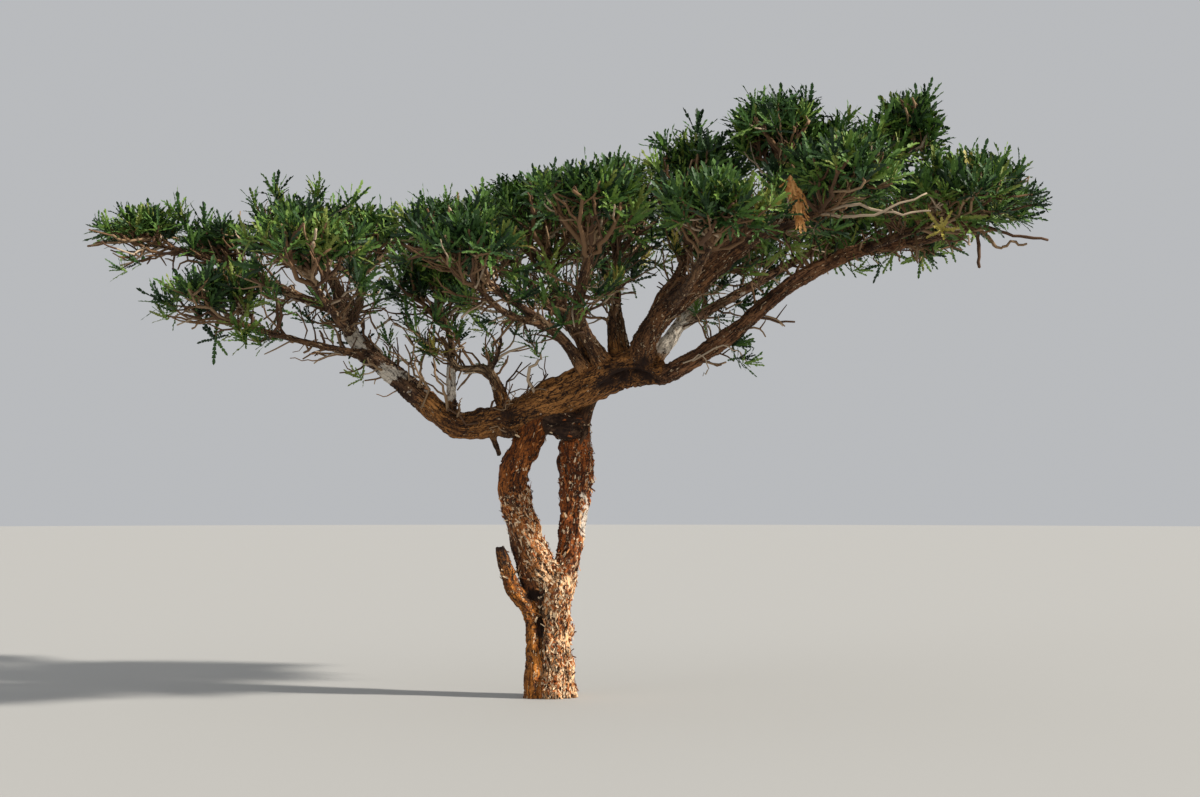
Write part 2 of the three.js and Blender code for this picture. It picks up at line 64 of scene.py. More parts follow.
# The limbs in millimetres, as the solids have them but for the basal stem's bend. Each leaves a place
# on an earlier limb ("on", and "at" as a share of its run) or starts at a point of its own, passes
# through "via" and ends at "tip". "girth" holds its diameters from base to tip, "bark" its kind of
# bark, which is thin where none is given, and a limb with a "crown" carries a mass of foliage that
# reaches that far to the side, in depth and in height.
FOOT_DEPTH = 80
LIMBS = {
    "main_bough": dict(
        start=(-905, -74, 2185), girth=(176, 214, 235, 280, 300, 290, 210), bark="trunk",
        via=((-690, -54, 2075), (-370, -20, 2140), (-70, 0, 2235), (240, 0, 2380), (550, 0, 2510)),
        tip=(800, 0, 2490)),
    "trunk": dict(
        start=(0, 0, -FOOT_DEPTH), girth=(270, 262, 250, 250, 256), bark="trunk",
        via=((5, 0, 220), (12, 0, 520)), tip=(15, 0, 850)),
    "left_stem_lower": dict(
        on="trunk", at=1, girth=(236, 236, 228), bark="trunk",
        via=((-160, 0, 1090),), tip=(-290, 0, 1450)),
    "left_stem_upper": dict(
        on="left_stem_lower", at=0.97, girth=(228, 226, 216, 214), bark="trunk",
        via=((-305, 0, 1640), (-230, 0, 1880)), tip=(-110, 0, 2170)),
    "right_stem": dict(
        on="trunk", at=0.86, girth=(196, 192, 192, 206, 236, 264, 140), bark="trunk",
        via=((110, 60, 1060), (155, 90, 1390), (172, 90, 1690)), tip=(150, 80, 2040)),
    "basal_stem": dict(
        start=(-150, -60, -FOOT_DEPTH), girth=(150, 126, 116, 118, 96), bark="trunk",
        via=((-148, -65, 440), (-184, -65, 665), (-314, -85, 850)), tip=(-396, -100, 1115)),
    "stem_brace": dict(
        on="right_stem", at=0.88, girth=(124, 112, 118), bark="bough",
        via=((250, 50, 2200),), tip=(340, 30, 2400)),
    "left_bough": dict(
        on="main_bough", at=0, girth=(182, 150, 124, 112, 104), bark="bough",
        via=((-1120, -100, 2380), (-1360, -100, 2570), (-1550, -80, 2780)), tip=(-1630, -60, 2990)),
    "left_high_bough": dict(
        on="left_bough", at=0.98, girth=(96, 84, 64),
        via=((-1720, 0, 3210),), tip=(-1990, 90, 3480), crown=(700, 700, 430)),
    "left_mid_bough": dict(
        on="left_bough", at=0.93, girth=(80, 70, 54),
        via=((-2020, -120, 3090),), tip=(-2480, -170, 3310), crown=(600, 640, 400)),
    "left_tip_bough": dict(
        on="left_mid_bough", at=0.8, girth=(50, 42, 32),
        via=((-2640, -330, 3340),), tip=(-3020, -240, 3440), crown=(640, 640, 390)),
    "left_low_bough": dict(
        on="left_bough", at=0.53, girth=(66, 58, 48, 38),
        via=((-1680, -290, 2650), (-2150, -420, 2760)), tip=(-2430, -430, 2850),
        crown=(680, 500, 340)),
    "left_near_bough": dict(
        on="left_bough", at=0.74, girth=(76, 64, 50),
        via=((-1590, -520, 2850),), tip=(-1700, -960, 3050), crown=(780, 740, 430)),
    "left_back_bough": dict(
        on="left_bough", at=0.86, girth=(78, 66, 50),
        via=((-1560, 380, 3060),), tip=(-1640, 860, 3480), crown=(780, 760, 450)),
    "inner_left_bough": dict(
        on="main_bough", at=0.1, girth=(72, 62, 52, 46),
        via=((-790, -20, 2480), (-800, 40, 2740)), tip=(-880, 60, 2960), crown=(700, 680, 430)),
    "front_left_bough": dict(
        on="main_bough", at=0.7, girth=(98, 80, 66, 54),
        via=((60, -260, 2730), (-280, -400, 2980)), tip=(-720, -470, 3290), crown=(740, 660, 440)),
    "front_low_bough": dict(
        on="front_left_bough", at=0.45, girth=(56, 48, 38),
        via=((-330, -680, 2870),), tip=(-520, -1150, 3010), crown=(780, 760, 430)),
    "back_left_bough": dict(
        on="main_bough", at=0.76, girth=(92, 78, 66, 52),
        via=((80, 320, 2930), (-160, 640, 3200)), tip=(-420, 900, 3520), crown=(760, 760, 460)),
    "front_bough": dict(
        on="main_bough", at=0.77, girth=(100, 90, 84, 66),
        via=((235, -300, 2790), (205, -620, 2950)), tip=(300, -1200, 3290), crown=(780, 780, 460)),
    "middle_bough": dict(
        on="main_bough", at=0.74, girth=(104, 92, 80, 60),
        via=((140, 60, 2900), (10, 30, 3120)), tip=(-60, 0, 3480), crown=(760, 700, 450)),
    "back_bough": dict(
        on="main_bough", at=0.84, girth=(84, 76, 68, 54),
        via=((500, 260, 2980), (480, 460, 3260)), tip=(520, 640, 3720), crown=(760, 700, 460)),
    "far_back_bough": dict(
        on="back_bough", at=0.5, girth=(60, 52, 42),
        via=((440, 980, 3240),), tip=(360, 1500, 3600), crown=(860, 780, 440)),
    "steep_bough": dict(
        on="main_bough", at=0.88, girth=(108, 98, 92, 76),
        via=((830, 110, 3050), (1000, 170, 3300)), tip=(1120, 220, 3760), crown=(720, 680, 560)),
    "thick_bough": dict(
        on="main_bough", at=0.9, girth=(180, 178, 176, 164, 136, 108), bark="bough",
        via=((760, -190, 2820), (1090, -320, 3150), (1570, -350, 3540)), tip=(2010, -280, 3690),
        crown=(760, 700, 580)),
    "near_bough": dict(
        on="thick_bough", at=0.36, girth=(80, 66, 50),
        via=((1000, -840, 3060),), tip=(1130, -1330, 3270), crown=(820, 760, 440)),
    "near_right_bough": dict(
        on="thick_bough", at=0.66, girth=(76, 62, 48),
        via=((1680, -780, 3480),), tip=(1960, -1130, 3560), crown=(780, 700, 440)),
    "crest_bough": dict(
        on="thick_bough", at=0.62, girth=(84, 72, 56),
        via=((1640, -200, 3820),), tip=(1720, -60, 4090), crown=(720, 680, 530)),
    "spire_bough": dict(
        on="thick_bough", at=0.84, girth=(70, 58, 44),
        via=((2300, -60, 3900),), tip=(2830, 150, 4260), crown=(450, 420, 640)),
    "pale_bough": dict(
        on="main_bough", at=0.95, girth=(124, 104, 84, 66),
        via=((980, 170, 2870), (1130, 420, 3110)), tip=(1330, 860, 3440), crown=(780, 760, 440)),
    "pale_side_bough": dict(
        on="pale_bough", at=0.32, girth=(86, 80, 70, 58),
        via=((1350, 380, 3080), (1800, 640, 3360)), tip=(2200, 850, 3600), crown=(800, 740, 460)),
    "right_low_bough": dict(
        on="main_bough", at=1, girth=(172, 146, 126, 112, 104, 92), bark="bough",
        via=((870, -60, 2460), (1330, -120, 2740), (1820, -100, 3150), (2290, -80, 3400)),
        tip=(2700, -40, 3480)),
    "right_tip_bough": dict(
        on="right_low_bough", at=0.98, girth=(78, 66, 46),
        via=((3000, 0, 3550),), tip=(3220, 60, 3680), crown=(630, 640, 430)),
    "right_back_bough": dict(
        on="right_low_bough", at=0.93, girth=(60, 52, 42),
        via=((2760, 330, 3560),), tip=(2960, 720, 3620), crown=(700, 700, 420)),
    "right_near_bough": dict(
        on="right_low_bough", at=0.86, girth=(66, 56, 44),
        via=((2600, -440, 3480),), tip=(2860, -760, 3540), crown=(740, 700, 420)),
}

# Stubs, a web of wood and side limbs that the solids leave out. Each is shown with its "node".
SMALL_LIMBS = {
    "knot": dict(
        start=(-110, 30, 2170), girth=(210, 222, 236, 216), bark="trunk", node="right_stem",
        via=((-20, 0, 2110), (70, 10, 2090)), tip=(156, 50, 2076)),
    "stem_web": dict(
        start=(-70, 10, 640), girth=(120, 176, 172, 150), bark="trunk", node="left_stem_lower",
        via=((-165, 10, 880), (-225, 0, 1090)), tip=(-262, 0, 1280)),
    "low_stub": dict(
        on="main_bough", at=0.29, girth=(90, 56, 40), bark="trunk", node="main_bough",
        via=((-465, -60, 2000),), tip=(-415, -80, 1850)),
    "short_stub": dict(
        on="main_bough", at=0.32, girth=(110, 80, 62), bark="trunk", node="main_bough",
        via=((-390, -100, 2030),), tip=(-310, -120, 2000)),
    "crooked_limb": dict(
        on="main_bough", at=0.34, girth=(92, 70, 62, 56, 36), node="inner_left_bough",
        via=((-450, -60, 2410), (-545, -80, 2510), (-739, -90, 2520)), tip=(-850, -100, 2740)),
    "upright_limb": dict(
        on="crooked_limb", at=0.42, girth=(46, 42, 28), node="inner_left_bough",
        via=((-435, -90, 2590),), tip=(-390, -110, 2790)),
    "hub_limb": dict(
        on="main_bough", at=0.8, girth=(84, 66, 56, 44), node="middle_bough",
        via=((450, 120, 2900), (500, 180, 3120)), tip=(400, 260, 3400)),
}


# Vectors, noise and curves

def unit(v):
    """v / |v|, along the last axis."""
    return v / np.maximum(np.linalg.norm(v, axis=-1, keepdims=True), 1e-12)


def along(values, t):
    """The value at shares t of a list of numbers evenly spaced from 0 to 1."""
    return np.interp(t, np.linspace(0, 1, len(values)), values)


def between(limits, rng, size):
    """Random numbers between two limits."""
    return rng.uniform(limits[0], limits[1], size)


# Large odd numbers that scatter the bits of a hash, and the size of its 32-bit words.
MIX_X, MIX_Y, MIX_Z, MIX = 374761393, 668265263, 1442695041, 1274126177
WORD = 2 ** 32


def lattice(cube, seed):
    """A number from 0 to 1 for each whole-numbered place, its three numbers hashed with the seed."""
    h = cube[..., 0] * MIX_X + cube[..., 1] * MIX_Y + cube[..., 2] * MIX_Z
    h = (h + seed * MIX) & (WORD - 1)
    h = ((h ^ (h >> 13)) * MIX) & (WORD - 1)
    return (h ^ (h >> 16)) / WORD


def noise(places, seed):
    """Smooth noise from -1 to 1: the lattice's numbers, blended by w*w*(3 - 2w) along each axis.
    Every use has a seed of its own."""
    base = np.floor(places).astype(np.int64)
    w = places - base
    w = w * w * (3 - 2 * w)
    total = 0
    for corner in np.ndindex(2, 2, 2):
        step = np.array(corner)
        total = total + np.prod(np.where(step, w, 1 - w), axis=-1) * lattice(base + step, seed)
    return 2 * total - 1


def curve(points, t):
    """Place and heading at shares t of a Catmull-Rom curve: between controls b and c, with a before
    them and d after, the place is b + w(c-a)/2 + w2(a - 5b/2 + 2c - d/2) + w3(3b - a - 3c + d)/2,
    and the ends go on as straight as they begin."""
    p = np.vstack([2 * points[0] - points[1], points, 2 * points[-1] - points[-2]])
    place = np.clip(t, 0, 1) * (len(points) - 1)
    i = np.minimum(place.astype(int), len(points) - 2)
    w = (place - i)[:, None]
    a, b, c, d = p[i], p[i + 1], p[i + 2], p[i + 3]
    slope = (c - a) / 2
    bow = a - 2.5 * b + 2 * c - d / 2
    twist = (3 * b - a - 3 * c + d) / 2
    return b + w * (slope + w * (bow + w * twist)), unit(slope + w * (2 * bow + 3 * w * twist))


# Limbs as lines with a radius

# The distance between a tube's rings in metres, the points in a ring, and the steps in which a limb's
# length is measured.
RING_STEP, RING_SIDES, LENGTH_STEPS = 0.02, 28, 200
# How far knobbles stand out, as a share of the radius.
KNOBBLE = 0.06
# The root flare: its width and height in metres, how many lobes it has and how deep they are.
ROOT_SPREAD, ROOT_HEIGHT, ROOT_LOBES, LOBE_DEPTH = 0.07, 0.17, 5, 0.35
# The collar at a limb's base, as a share of its radius; and as shares of the parent's radius, the
# distance over which it fades and the radius that it stays under.
COLLAR, COLLAR_FADE, COLLAR_MOST = 0.42, 0.9, 0.95
# A limb that leaves its parent nearer to an end than this goes on from it and has no collar.
LEAST_AT, MOST_AT = 0.02, 0.93
# Rings past each end that round it off: how far out and how wide, as shares of the radius; and how
# far out the pole stands that closes the end.
DOME, POLE = ((0.32, 0.93), (0.58, 0.74), (0.74, 0.44)), 0.8


class Limb:
    """A limb's centre line, its cross-sections' axes and its radius, in metres."""

    def __init__(self, name, index, facts, earlier):
        self.name = name
        self.node = facts.get("node", name)
        self.phase = index
        self.parent = earlier.get(facts.get("on"))
        self.girth = np.array(facts["girth"]) * MM
        self.bark = facts.get("bark", "thin")
        self.crown = np.array(facts["crown"]) * MM if "crown" in facts else None
        start = self.parent.at(facts["at"])[0] if self.parent else np.array(facts["start"]) * MM
        rest = np.array([*facts["via"], facts["tip"]]) * MM
        self.points = np.vstack([start, rest])
        chord = np.abs(self.points[-1] - self.points[0])
        self.axis = np.eye(3)[np.argmin(chord)]
        fine = curve(self.points, np.linspace(0, 1, LENGTH_STEPS))[0]
        self.length = np.linalg.norm(np.diff(fine, axis=0), axis=1).sum()
        self.buried = self.parent.radius_at(facts["at"]) if self.parent else 0
        self.collar = bool(self.parent) and LEAST_AT < facts["at"] < MOST_AT

    def at(self, t):
        """The place and the heading at one share of the run."""
        place, heading = curve(self.points, np.array([float(t)]))
        return place[0], heading[0]

    def radius_at(self, t):
        """Half the girth at one share of the run."""
        return float(along(self.girth, t)) / 2

    def frames(self, t):
        """Centres, headings and the two axes of the cross-sections at shares t."""
        centre, heading = curve(self.points, t)
        across = unit(np.cross(heading, self.axis))
        return centre, heading, across, np.cross(across, heading)

    def radius(self, t, angle, height):
        """Half the girth, times 1 + 0.06 (sin(2a + phase + 5t) + 0.6 sin(3a - 7t + 2 phase)). The
        trunk adds its root flare, which fades with height, and a limb the collar at its base."""
        knots = np.sin(2 * angle + self.phase + 5 * t)
        knots = knots + 0.6 * np.sin(3 * angle - 7 * t + 2 * self.phase)
        radius = along(self.girth, t) / 2 * (1 + KNOBBLE * knots)
        if self.name == "trunk":
            lobe = 1 - LOBE_DEPTH + LOBE_DEPTH * np.cos(ROOT_LOBES * angle + self.phase)
            radius = radius + ROOT_SPREAD * lobe * np.exp(-np.maximum(height, 0) / ROOT_HEIGHT)
        if self.collar:
            run = np.maximum(t * self.length - self.buried, 0)
            wide = radius * (1 + COLLAR * np.exp(-run / (COLLAR_FADE * self.buried)))
            radius = np.minimum(wide, np.maximum(radius, COLLAR_MOST * self.buried))
        return radius

    def beads(self, step):
        """Beads on the line, about a step apart: their centres and three axes, the distance run, the
        radius and the limb's number."""
        t = np.linspace(0, 1, max(4, round(self.length / step)))
        number = np.full(len(t), self.phase)
        return (*self.frames(t), t * self.length, along(self.girth, t) / 2, number)

    def surface(self):
        """A closed tube: a ring of points at every step along the line, and rounded ends."""
        t = np.linspace(0, 1, max(4, round(self.length / RING_STEP)) + 1)
        centre, heading, across, up = self.frames(t)
        angle = np.arange(RING_SIDES) * 2 * math.pi / RING_SIDES
        radius = self.radius(t[:, None], angle[None], centre[:, 2:])[..., None]
        spoke = np.cos(angle)[:, None] * across[:, None] + np.sin(angle)[:, None] * up[:, None]
        rings = centre[:, None] + radius * spoke
        ends = []
        for end, turn in ((0, -1), (-1, 1)):
            size = radius[end].mean()
            dome = [centre[end] + (rings[end] - centre[end]) * wide + turn * far * size * heading[end]
                    for far, wide in DOME]
            ends.append((np.array(dome), centre[end] + turn * POLE * size * heading[end]))
        (foot_dome, foot), (tip_dome, tip) = ends
        return tube_mesh(np.concatenate([foot_dome[::-1], rings, tip_dome]), foot, tip)


def tube_mesh(rings, foot, tip):
    """Points and three- and four-sided faces of a tube through rings, closed by a pole at each end.
    Faces wind so that they point out where a ring turns from its first axis to its second and the
    tube runs along minus their cross product."""
    count, sides = rings.shape[:2]
    points = np.vstack([rings.reshape(-1, 3), foot, tip])
    here = np.arange(sides)
    after = (here + 1) % sides
    low = (np.arange(count - 1) * sides)[:, None]
    quads = np.stack([low + here, low + sides + here, low + sides + after, low + after], axis=-1)
    last = (count - 1) * sides
    start = np.stack([here, after, np.full(sides, count * sides)], axis=-1)
    end = np.stack([last + after, last + here, np.full(sides, count * sides + 1)], axis=-1)
    return points, quads.reshape(-1, 4), np.vstack([start, end])


limbs = {}
for order, (limb_name, facts) in enumerate({**LIMBS, **SMALL_LIMBS}.items()):
    limbs[limb_name] = Limb(limb_name, order, facts, limbs)


def nodes_of(members):
    """The CAD nodes that limbs belong to, each once."""
    return list(dict.fromkeys(limb.node for limb in members))


# Meshes and pieces

def mesh_of(name, points, faces, smooth=True):
    """A mesh from whole arrays: points, and a list of arrays of faces, each with its own count of
    corners."""
    mesh = bpy.data.meshes.new(name)
    sizes = np.concatenate([np.full(len(f), f.shape[1]) for f in faces])
    corners = np.concatenate([f.ravel() for f in faces])
    mesh.vertices.add(len(points))
    mesh.vertices.foreach_set("co", points.astype(np.float32).ravel())
    mesh.loops.add(len(corners))
    mesh.loops.foreach_set("vertex_index", corners.astype(np.int32))
    mesh.polygons.add(len(sizes))
    starts = np.concatenate([[0], np.cumsum(sizes)[:-1]])
    mesh.polygons.foreach_set("loop_start", starts.astype(np.int32))
    mesh.polygons.foreach_set("use_smooth", np.full(len(sizes), smooth))
    mesh.update(calc_edges=True)
    mesh.validate()
    return mesh


def shown(mesh, nodes, materials):
    """Puts a mesh into the scene as a piece that rides on the tree and stands for CAD nodes."""
    piece = bpy.data.objects.new(mesh.name, mesh)
    bpy.context.scene.collection.objects.link(piece)
    for material in materials:
        mesh.materials.append(material)
    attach(piece, "root")
    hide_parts(*nodes)


def joined(parts):
    """Several (points, quads, triangles) as one."""
    points, quads, triangles = zip(*parts)
    offsets = np.cumsum([0] + [len(own) for own in points])
    quads = [own + offset for own, offset in zip(quads, offsets)]
    triangles = [own + offset for own, offset in zip(triangles, offsets)]
    return np.vstack(points), np.vstack(quads), np.vstack(triangles)


def fused(parts, voxel):
    """Overlapping closed tubes as one skin of even quads, by a voxel remesh."""
    points, quads, triangles = joined(parts)
    rough = bpy.data.objects.new("rough", mesh_of("rough", points, [quads, triangles]))
    bpy.context.scene.collection.objects.link(rough)
    remesh = rough.modifiers.new("skin", "REMESH")
    remesh.mode = "VOXEL"
    remesh.voxel_size = voxel
    graph = bpy.context.evaluated_depsgraph_get()
    skin = bpy.data.meshes.new_from_object(rough.evaluated_get(graph))
    points = np.empty(len(skin.vertices) * 3, np.float32)
    skin.vertices.foreach_get("co", points)
    corners = np.empty(len(skin.loops), np.int32)
    skin.loops.foreach_get("vertex_index", corners)
    bpy.data.objects.remove(rough)
    return points.reshape(-1, 3).astype(float), corners.reshape(-1, 4)


def smoothed(points, quads, rounds):
    """Each round moves every point half way to the mean of its neighbours."""
    start, end = quads.ravel(), np.roll(quads, -1, axis=1).ravel()
    here, there = np.concatenate([start, end]), np.concatenate([end, start])
    count = np.bincount(here, minlength=len(points))[:, None]
    for _ in range(rounds):
        sums = [np.bincount(here, points[there, axis], len(points)) for axis in range(3)]
        points = (points + np.stack(sums, axis=1) / count) / 2
    return points


def normals_of(points, quads):
    """Unit normals at the points: the sum of their faces' cross products of diagonals."""
    a, b, c, d = (points[quads[:, i]] for i in range(4))
    facing = np.cross(c - a, d - b)
    corner = quads.ravel()
    sums = [np.bincount(corner, np.repeat(facing[:, axis], 4), len(points)) for axis in range(3)]
    return unit(np.stack(sums, axis=1))


# Bark: limbs fused into one skin, then raised and cracked

# Each limb's colour on the screen, and as shares how flaky and how worn its bark is, how deep its
# layers are and how deep its rings.
LOOKS = {
    "trunk": ((208, 152, 100), 0.85, 0.05, 1.25, 0.0),
    "left_stem_lower": ((186, 118, 62), 0.6, 0.05, 1.2, 0.0),
    "stem_web": ((120, 74, 40), 0.25, 0.0, 1.2, 0.0),
    "left_stem_upper": ((154, 88, 36), 0.15, 0.05, 1.1, 0.1),
    "right_stem": ((166, 92, 40), 0.4, 0.1, 1.1, 0.1),
    # The basal stem's colour is raised partly as painted sunlight.
    "basal_stem": ((216, 138, 60), 0.3, 0.05, 0.9, 0.0),
    "main_bough": ((166, 114, 62), 0.12, 0.08, 0.9, 0.9),
    "left_bough": ((118, 90, 68), 0.3, 0.3, 0.9, 0.6),
    # The knot's dark brown is partly painted shade.
    "knot": ((82, 60, 44), 0.1, 0.1, 1.8, 0.0),
    "low_stub": ((70, 54, 40), 0.0, 0.0, 1.2, 0.0),
    "short_stub": ((96, 76, 58), 0.1, 0.3, 1.2, 0.0),
    "crooked_limb": ((132, 110, 84), 0.1, 0.3, 0.8, 0.4),
    "upright_limb": ((66, 50, 38), 0.0, 0.0, 0.8, 0.3),
    # The stem brace's dark brown is partly painted shade.
    "stem_brace": ((84, 64, 44), 0.05, 0.0, 0.3, 0.3),
    "thick_bough": ((128, 90, 60), 0.3, 0.15, 0.9, 0.5),
    "steep_bough": ((126, 90, 60), 0.3, 0.15, 0.8, 0.4),
    "right_low_bough": ((136, 96, 66), 0.2, 0.1, 0.6, 0.7),
    "inner_left_bough": ((136, 108, 82), 0.35, 0.35, 0.6, 0.4),
    # The pale bough is pale bark, made paler still as painted sunlight against the crown's shadow.
    "pale_bough": ((244, 226, 202), 0.3, 0.8, 0.4, 0.2),
    "pale_side_bough": ((146, 110, 82), 0.3, 0.2, 0.6, 0.3),
}
# The look of every other limb.
THIN_LOOK = ((130, 98, 70), 0.3, 0.15, 0.6, 0.4)

# Places where the bark swells or sinks, is worn pale or is dark: centre, radii and height in mm, and
# shares of pale and of dark. The dark is painted shade, most of all in the hub's hollow under the
# boughs, in the clefts and hollows of the stems and on the broken stub's top. A share of dark below 0
# clears the painted shade of cracks away.
SPOTS = (
    ((560, -150, 2430), (180, 100, 92), -85, 0, 0.85),
    ((690, -130, 2390), (120, 110, 75), -45, 0, 0.7),
    ((440, -170, 2500), (60, 70, 40), 22, 0, 0.2),
    ((150, -160, 2300), (80, 70, 50), 18, 0, 0.1),
    ((-330, -120, 2160), (60, 80, 60), 26, 0, 0.5),
    ((-170, -120, 2150), (70, 60, 60), 26, 0, 0.3),
    ((-700, -120, 2240), (90, 90, 60), 24, 0, 0.4),
    ((-560, -120, 2240), (70, 80, 50), 20, 0, 0.8),
    ((400, -160, 2360), (90, 80, 40), -25, 0, 0.8),
    ((700, -140, 2560), (60, 80, 50), -25, 0, 0.7),
    ((810, -60, 2740), (90, 120, 90), 6, 1.0, 0),
    ((330, -130, 2560), (80, 70, 60), 20, 0, 0),
    ((-50, -120, 2330), (110, 60, 50), 16, 0, 0),
    ((-640, -60, 2150), (260, 200, 200), -22, 0, 0.2),
    ((-790, -60, 2400), (60, 100, 130), 6, 1.0, 0),
    ((-1525, -140, 2700), (90, 120, 100), 8, 0.9, 0),
    ((-1235, -150, 2460), (100, 100, 60), 6, 0.9, 0),
    ((-1420, -160, 2570), (60, 90, 60), 24, 0, 0.3),
    ((-1080, -150, 2300), (60, 90, 60), 22, 0, 0.2),
    ((240, 60, 1340), (45, 110, 290), 2, 1.0, 0),
    ((200, 30, 1960), (90, 100, 60), 20, 0.4, 0),
    ((50, -60, 2060), (100, 90, 60), 14, 0, 0.7),
    ((-20, -110, 2090), (30, 50, 30), 34, 0.3, 0),
    ((60, -110, 2010), (34, 50, 28), 36, 0, 0.4),
    ((110, -90, 2070), (26, 50, 30), 30, 0.4, 0),
    ((10, -100, 2010), (24, 50, 24), -24, 0, 0.8),
    ((500, -110, 2410), (40, 90, 20), 30, 0, -0.6),
    ((575, -100, 2450), (24, 90, 40), 34, 0, -0.4),
    ((560, -100, 2395), (20, 90, 30), -30, 0, 0.6),
    ((640, -100, 2420), (36, 90, 18), 36, 0.2, -0.6),
    ((690, -90, 2380), (22, 90, 34), 30, 0, -0.4),
    ((730, -90, 2430), (24, 90, 30), -24, 0, 0.6),
    ((-90, -110, 560), (28, 80, 330), -14, 0, 0.6),
    ((-150, -90, 775), (60, 90, 46), -22, 0, 1.0),
    ((20, -120, 960), (36, 80, 60), -8, 0, 0.3),
    ((-300, -90, 1500), (60, 60, 60), 16, 0, 0.2),
    ((-404, -100, 1145), (60, 70, 46), -14, 0, 0.8),
    ((-430, -120, 1153), (16, 30, 30), 26, 0, 0.4),
    ((-382, -125, 1161), (13, 30, 26), 24, 0, 0.2),
    ((-372, -110, 1050), (80, 90, 90), 0, 0, 0.5),
    ((-150, -150, 700), (40, 60, 40), 10, 0.1, 0),
    ((-300, -90, 960), (50, 50, 40), 14, 0, 0),
)

BEAD_STEP = 0.02
# How many points are measured against all beads at once.
CHUNK = 6000
# Where a second limb is nearly as near, a limb's own grain fades over this distance.
GRAIN_FADE = 0.05
# Past its parent's bark, a limb's own look comes in over this distance.
LOOK_FADE = 0.07
# From this radius on, limbs have their full relief, and the thinnest keep the least share of it.
FULL_RELIEF_RADIUS, LEAST_RELIEF = 0.1, 0.35
# How far each limb's grain lies from that of the limb before it.
APART = np.array([3.7, 1.3, 9.1])

# The relief: heights and the widths of noise in metres, where three widths stretch it along the limb.
# The last number of a row of LUMPS or LAYERS is its noise's seed.
LUMPS = ((0.012, 0.13, 1), (0.006, 0.05, 2))
FLUTE_HEIGHT, FLUTE_WIDTHS = 0.011, np.array([0.05, 0.05, 0.34])
WARP, WARP_WIDTH = 0.02, 0.05
# How many layers a noise piles up; then one layer's height, what share of it is steep, and over what
# share painted shade fades from its foot.
LAYERS = ((2.6, np.array([0.05, 0.05, 0.11]), 7), (1.5, np.array([0.022, 0.022, 0.05]), 8))
LAYER_HEIGHT, LAYER_STEEP, LAYER_SHADE = 0.0065, 0.35, 0.3
RING_HEIGHT, RING_SPACING = 0.004, 0.075
# How far, in radians, noise bends the rings, and how strong they are before noise varies that.
RING_BEND, BEND_WIDTH, RING_SHARE, SHARE_WIDTH = 5, 0.11, 0.6, 0.12
# How much painted shade a metre of hollow gives, and a spot's full painted shade.
HOLLOW_SHADE, SPOT_SHADE = 18, 1.6
# How much more the sunny side flakes; and painted light and shade on the bark's tint: its share where the
# bark faces neither up nor the sun, with what facing up and facing the sun add to it, so that tops
# and the sunny side are painted lighter and undersides and the far side darker.
SUNNY_FLAKES, PAINTED_LIGHT_SHARE, PAINTED_LIGHT_ABOVE, PAINTED_LIGHT_SUNNY = 0.55, 0.84, 0.16, 0.27


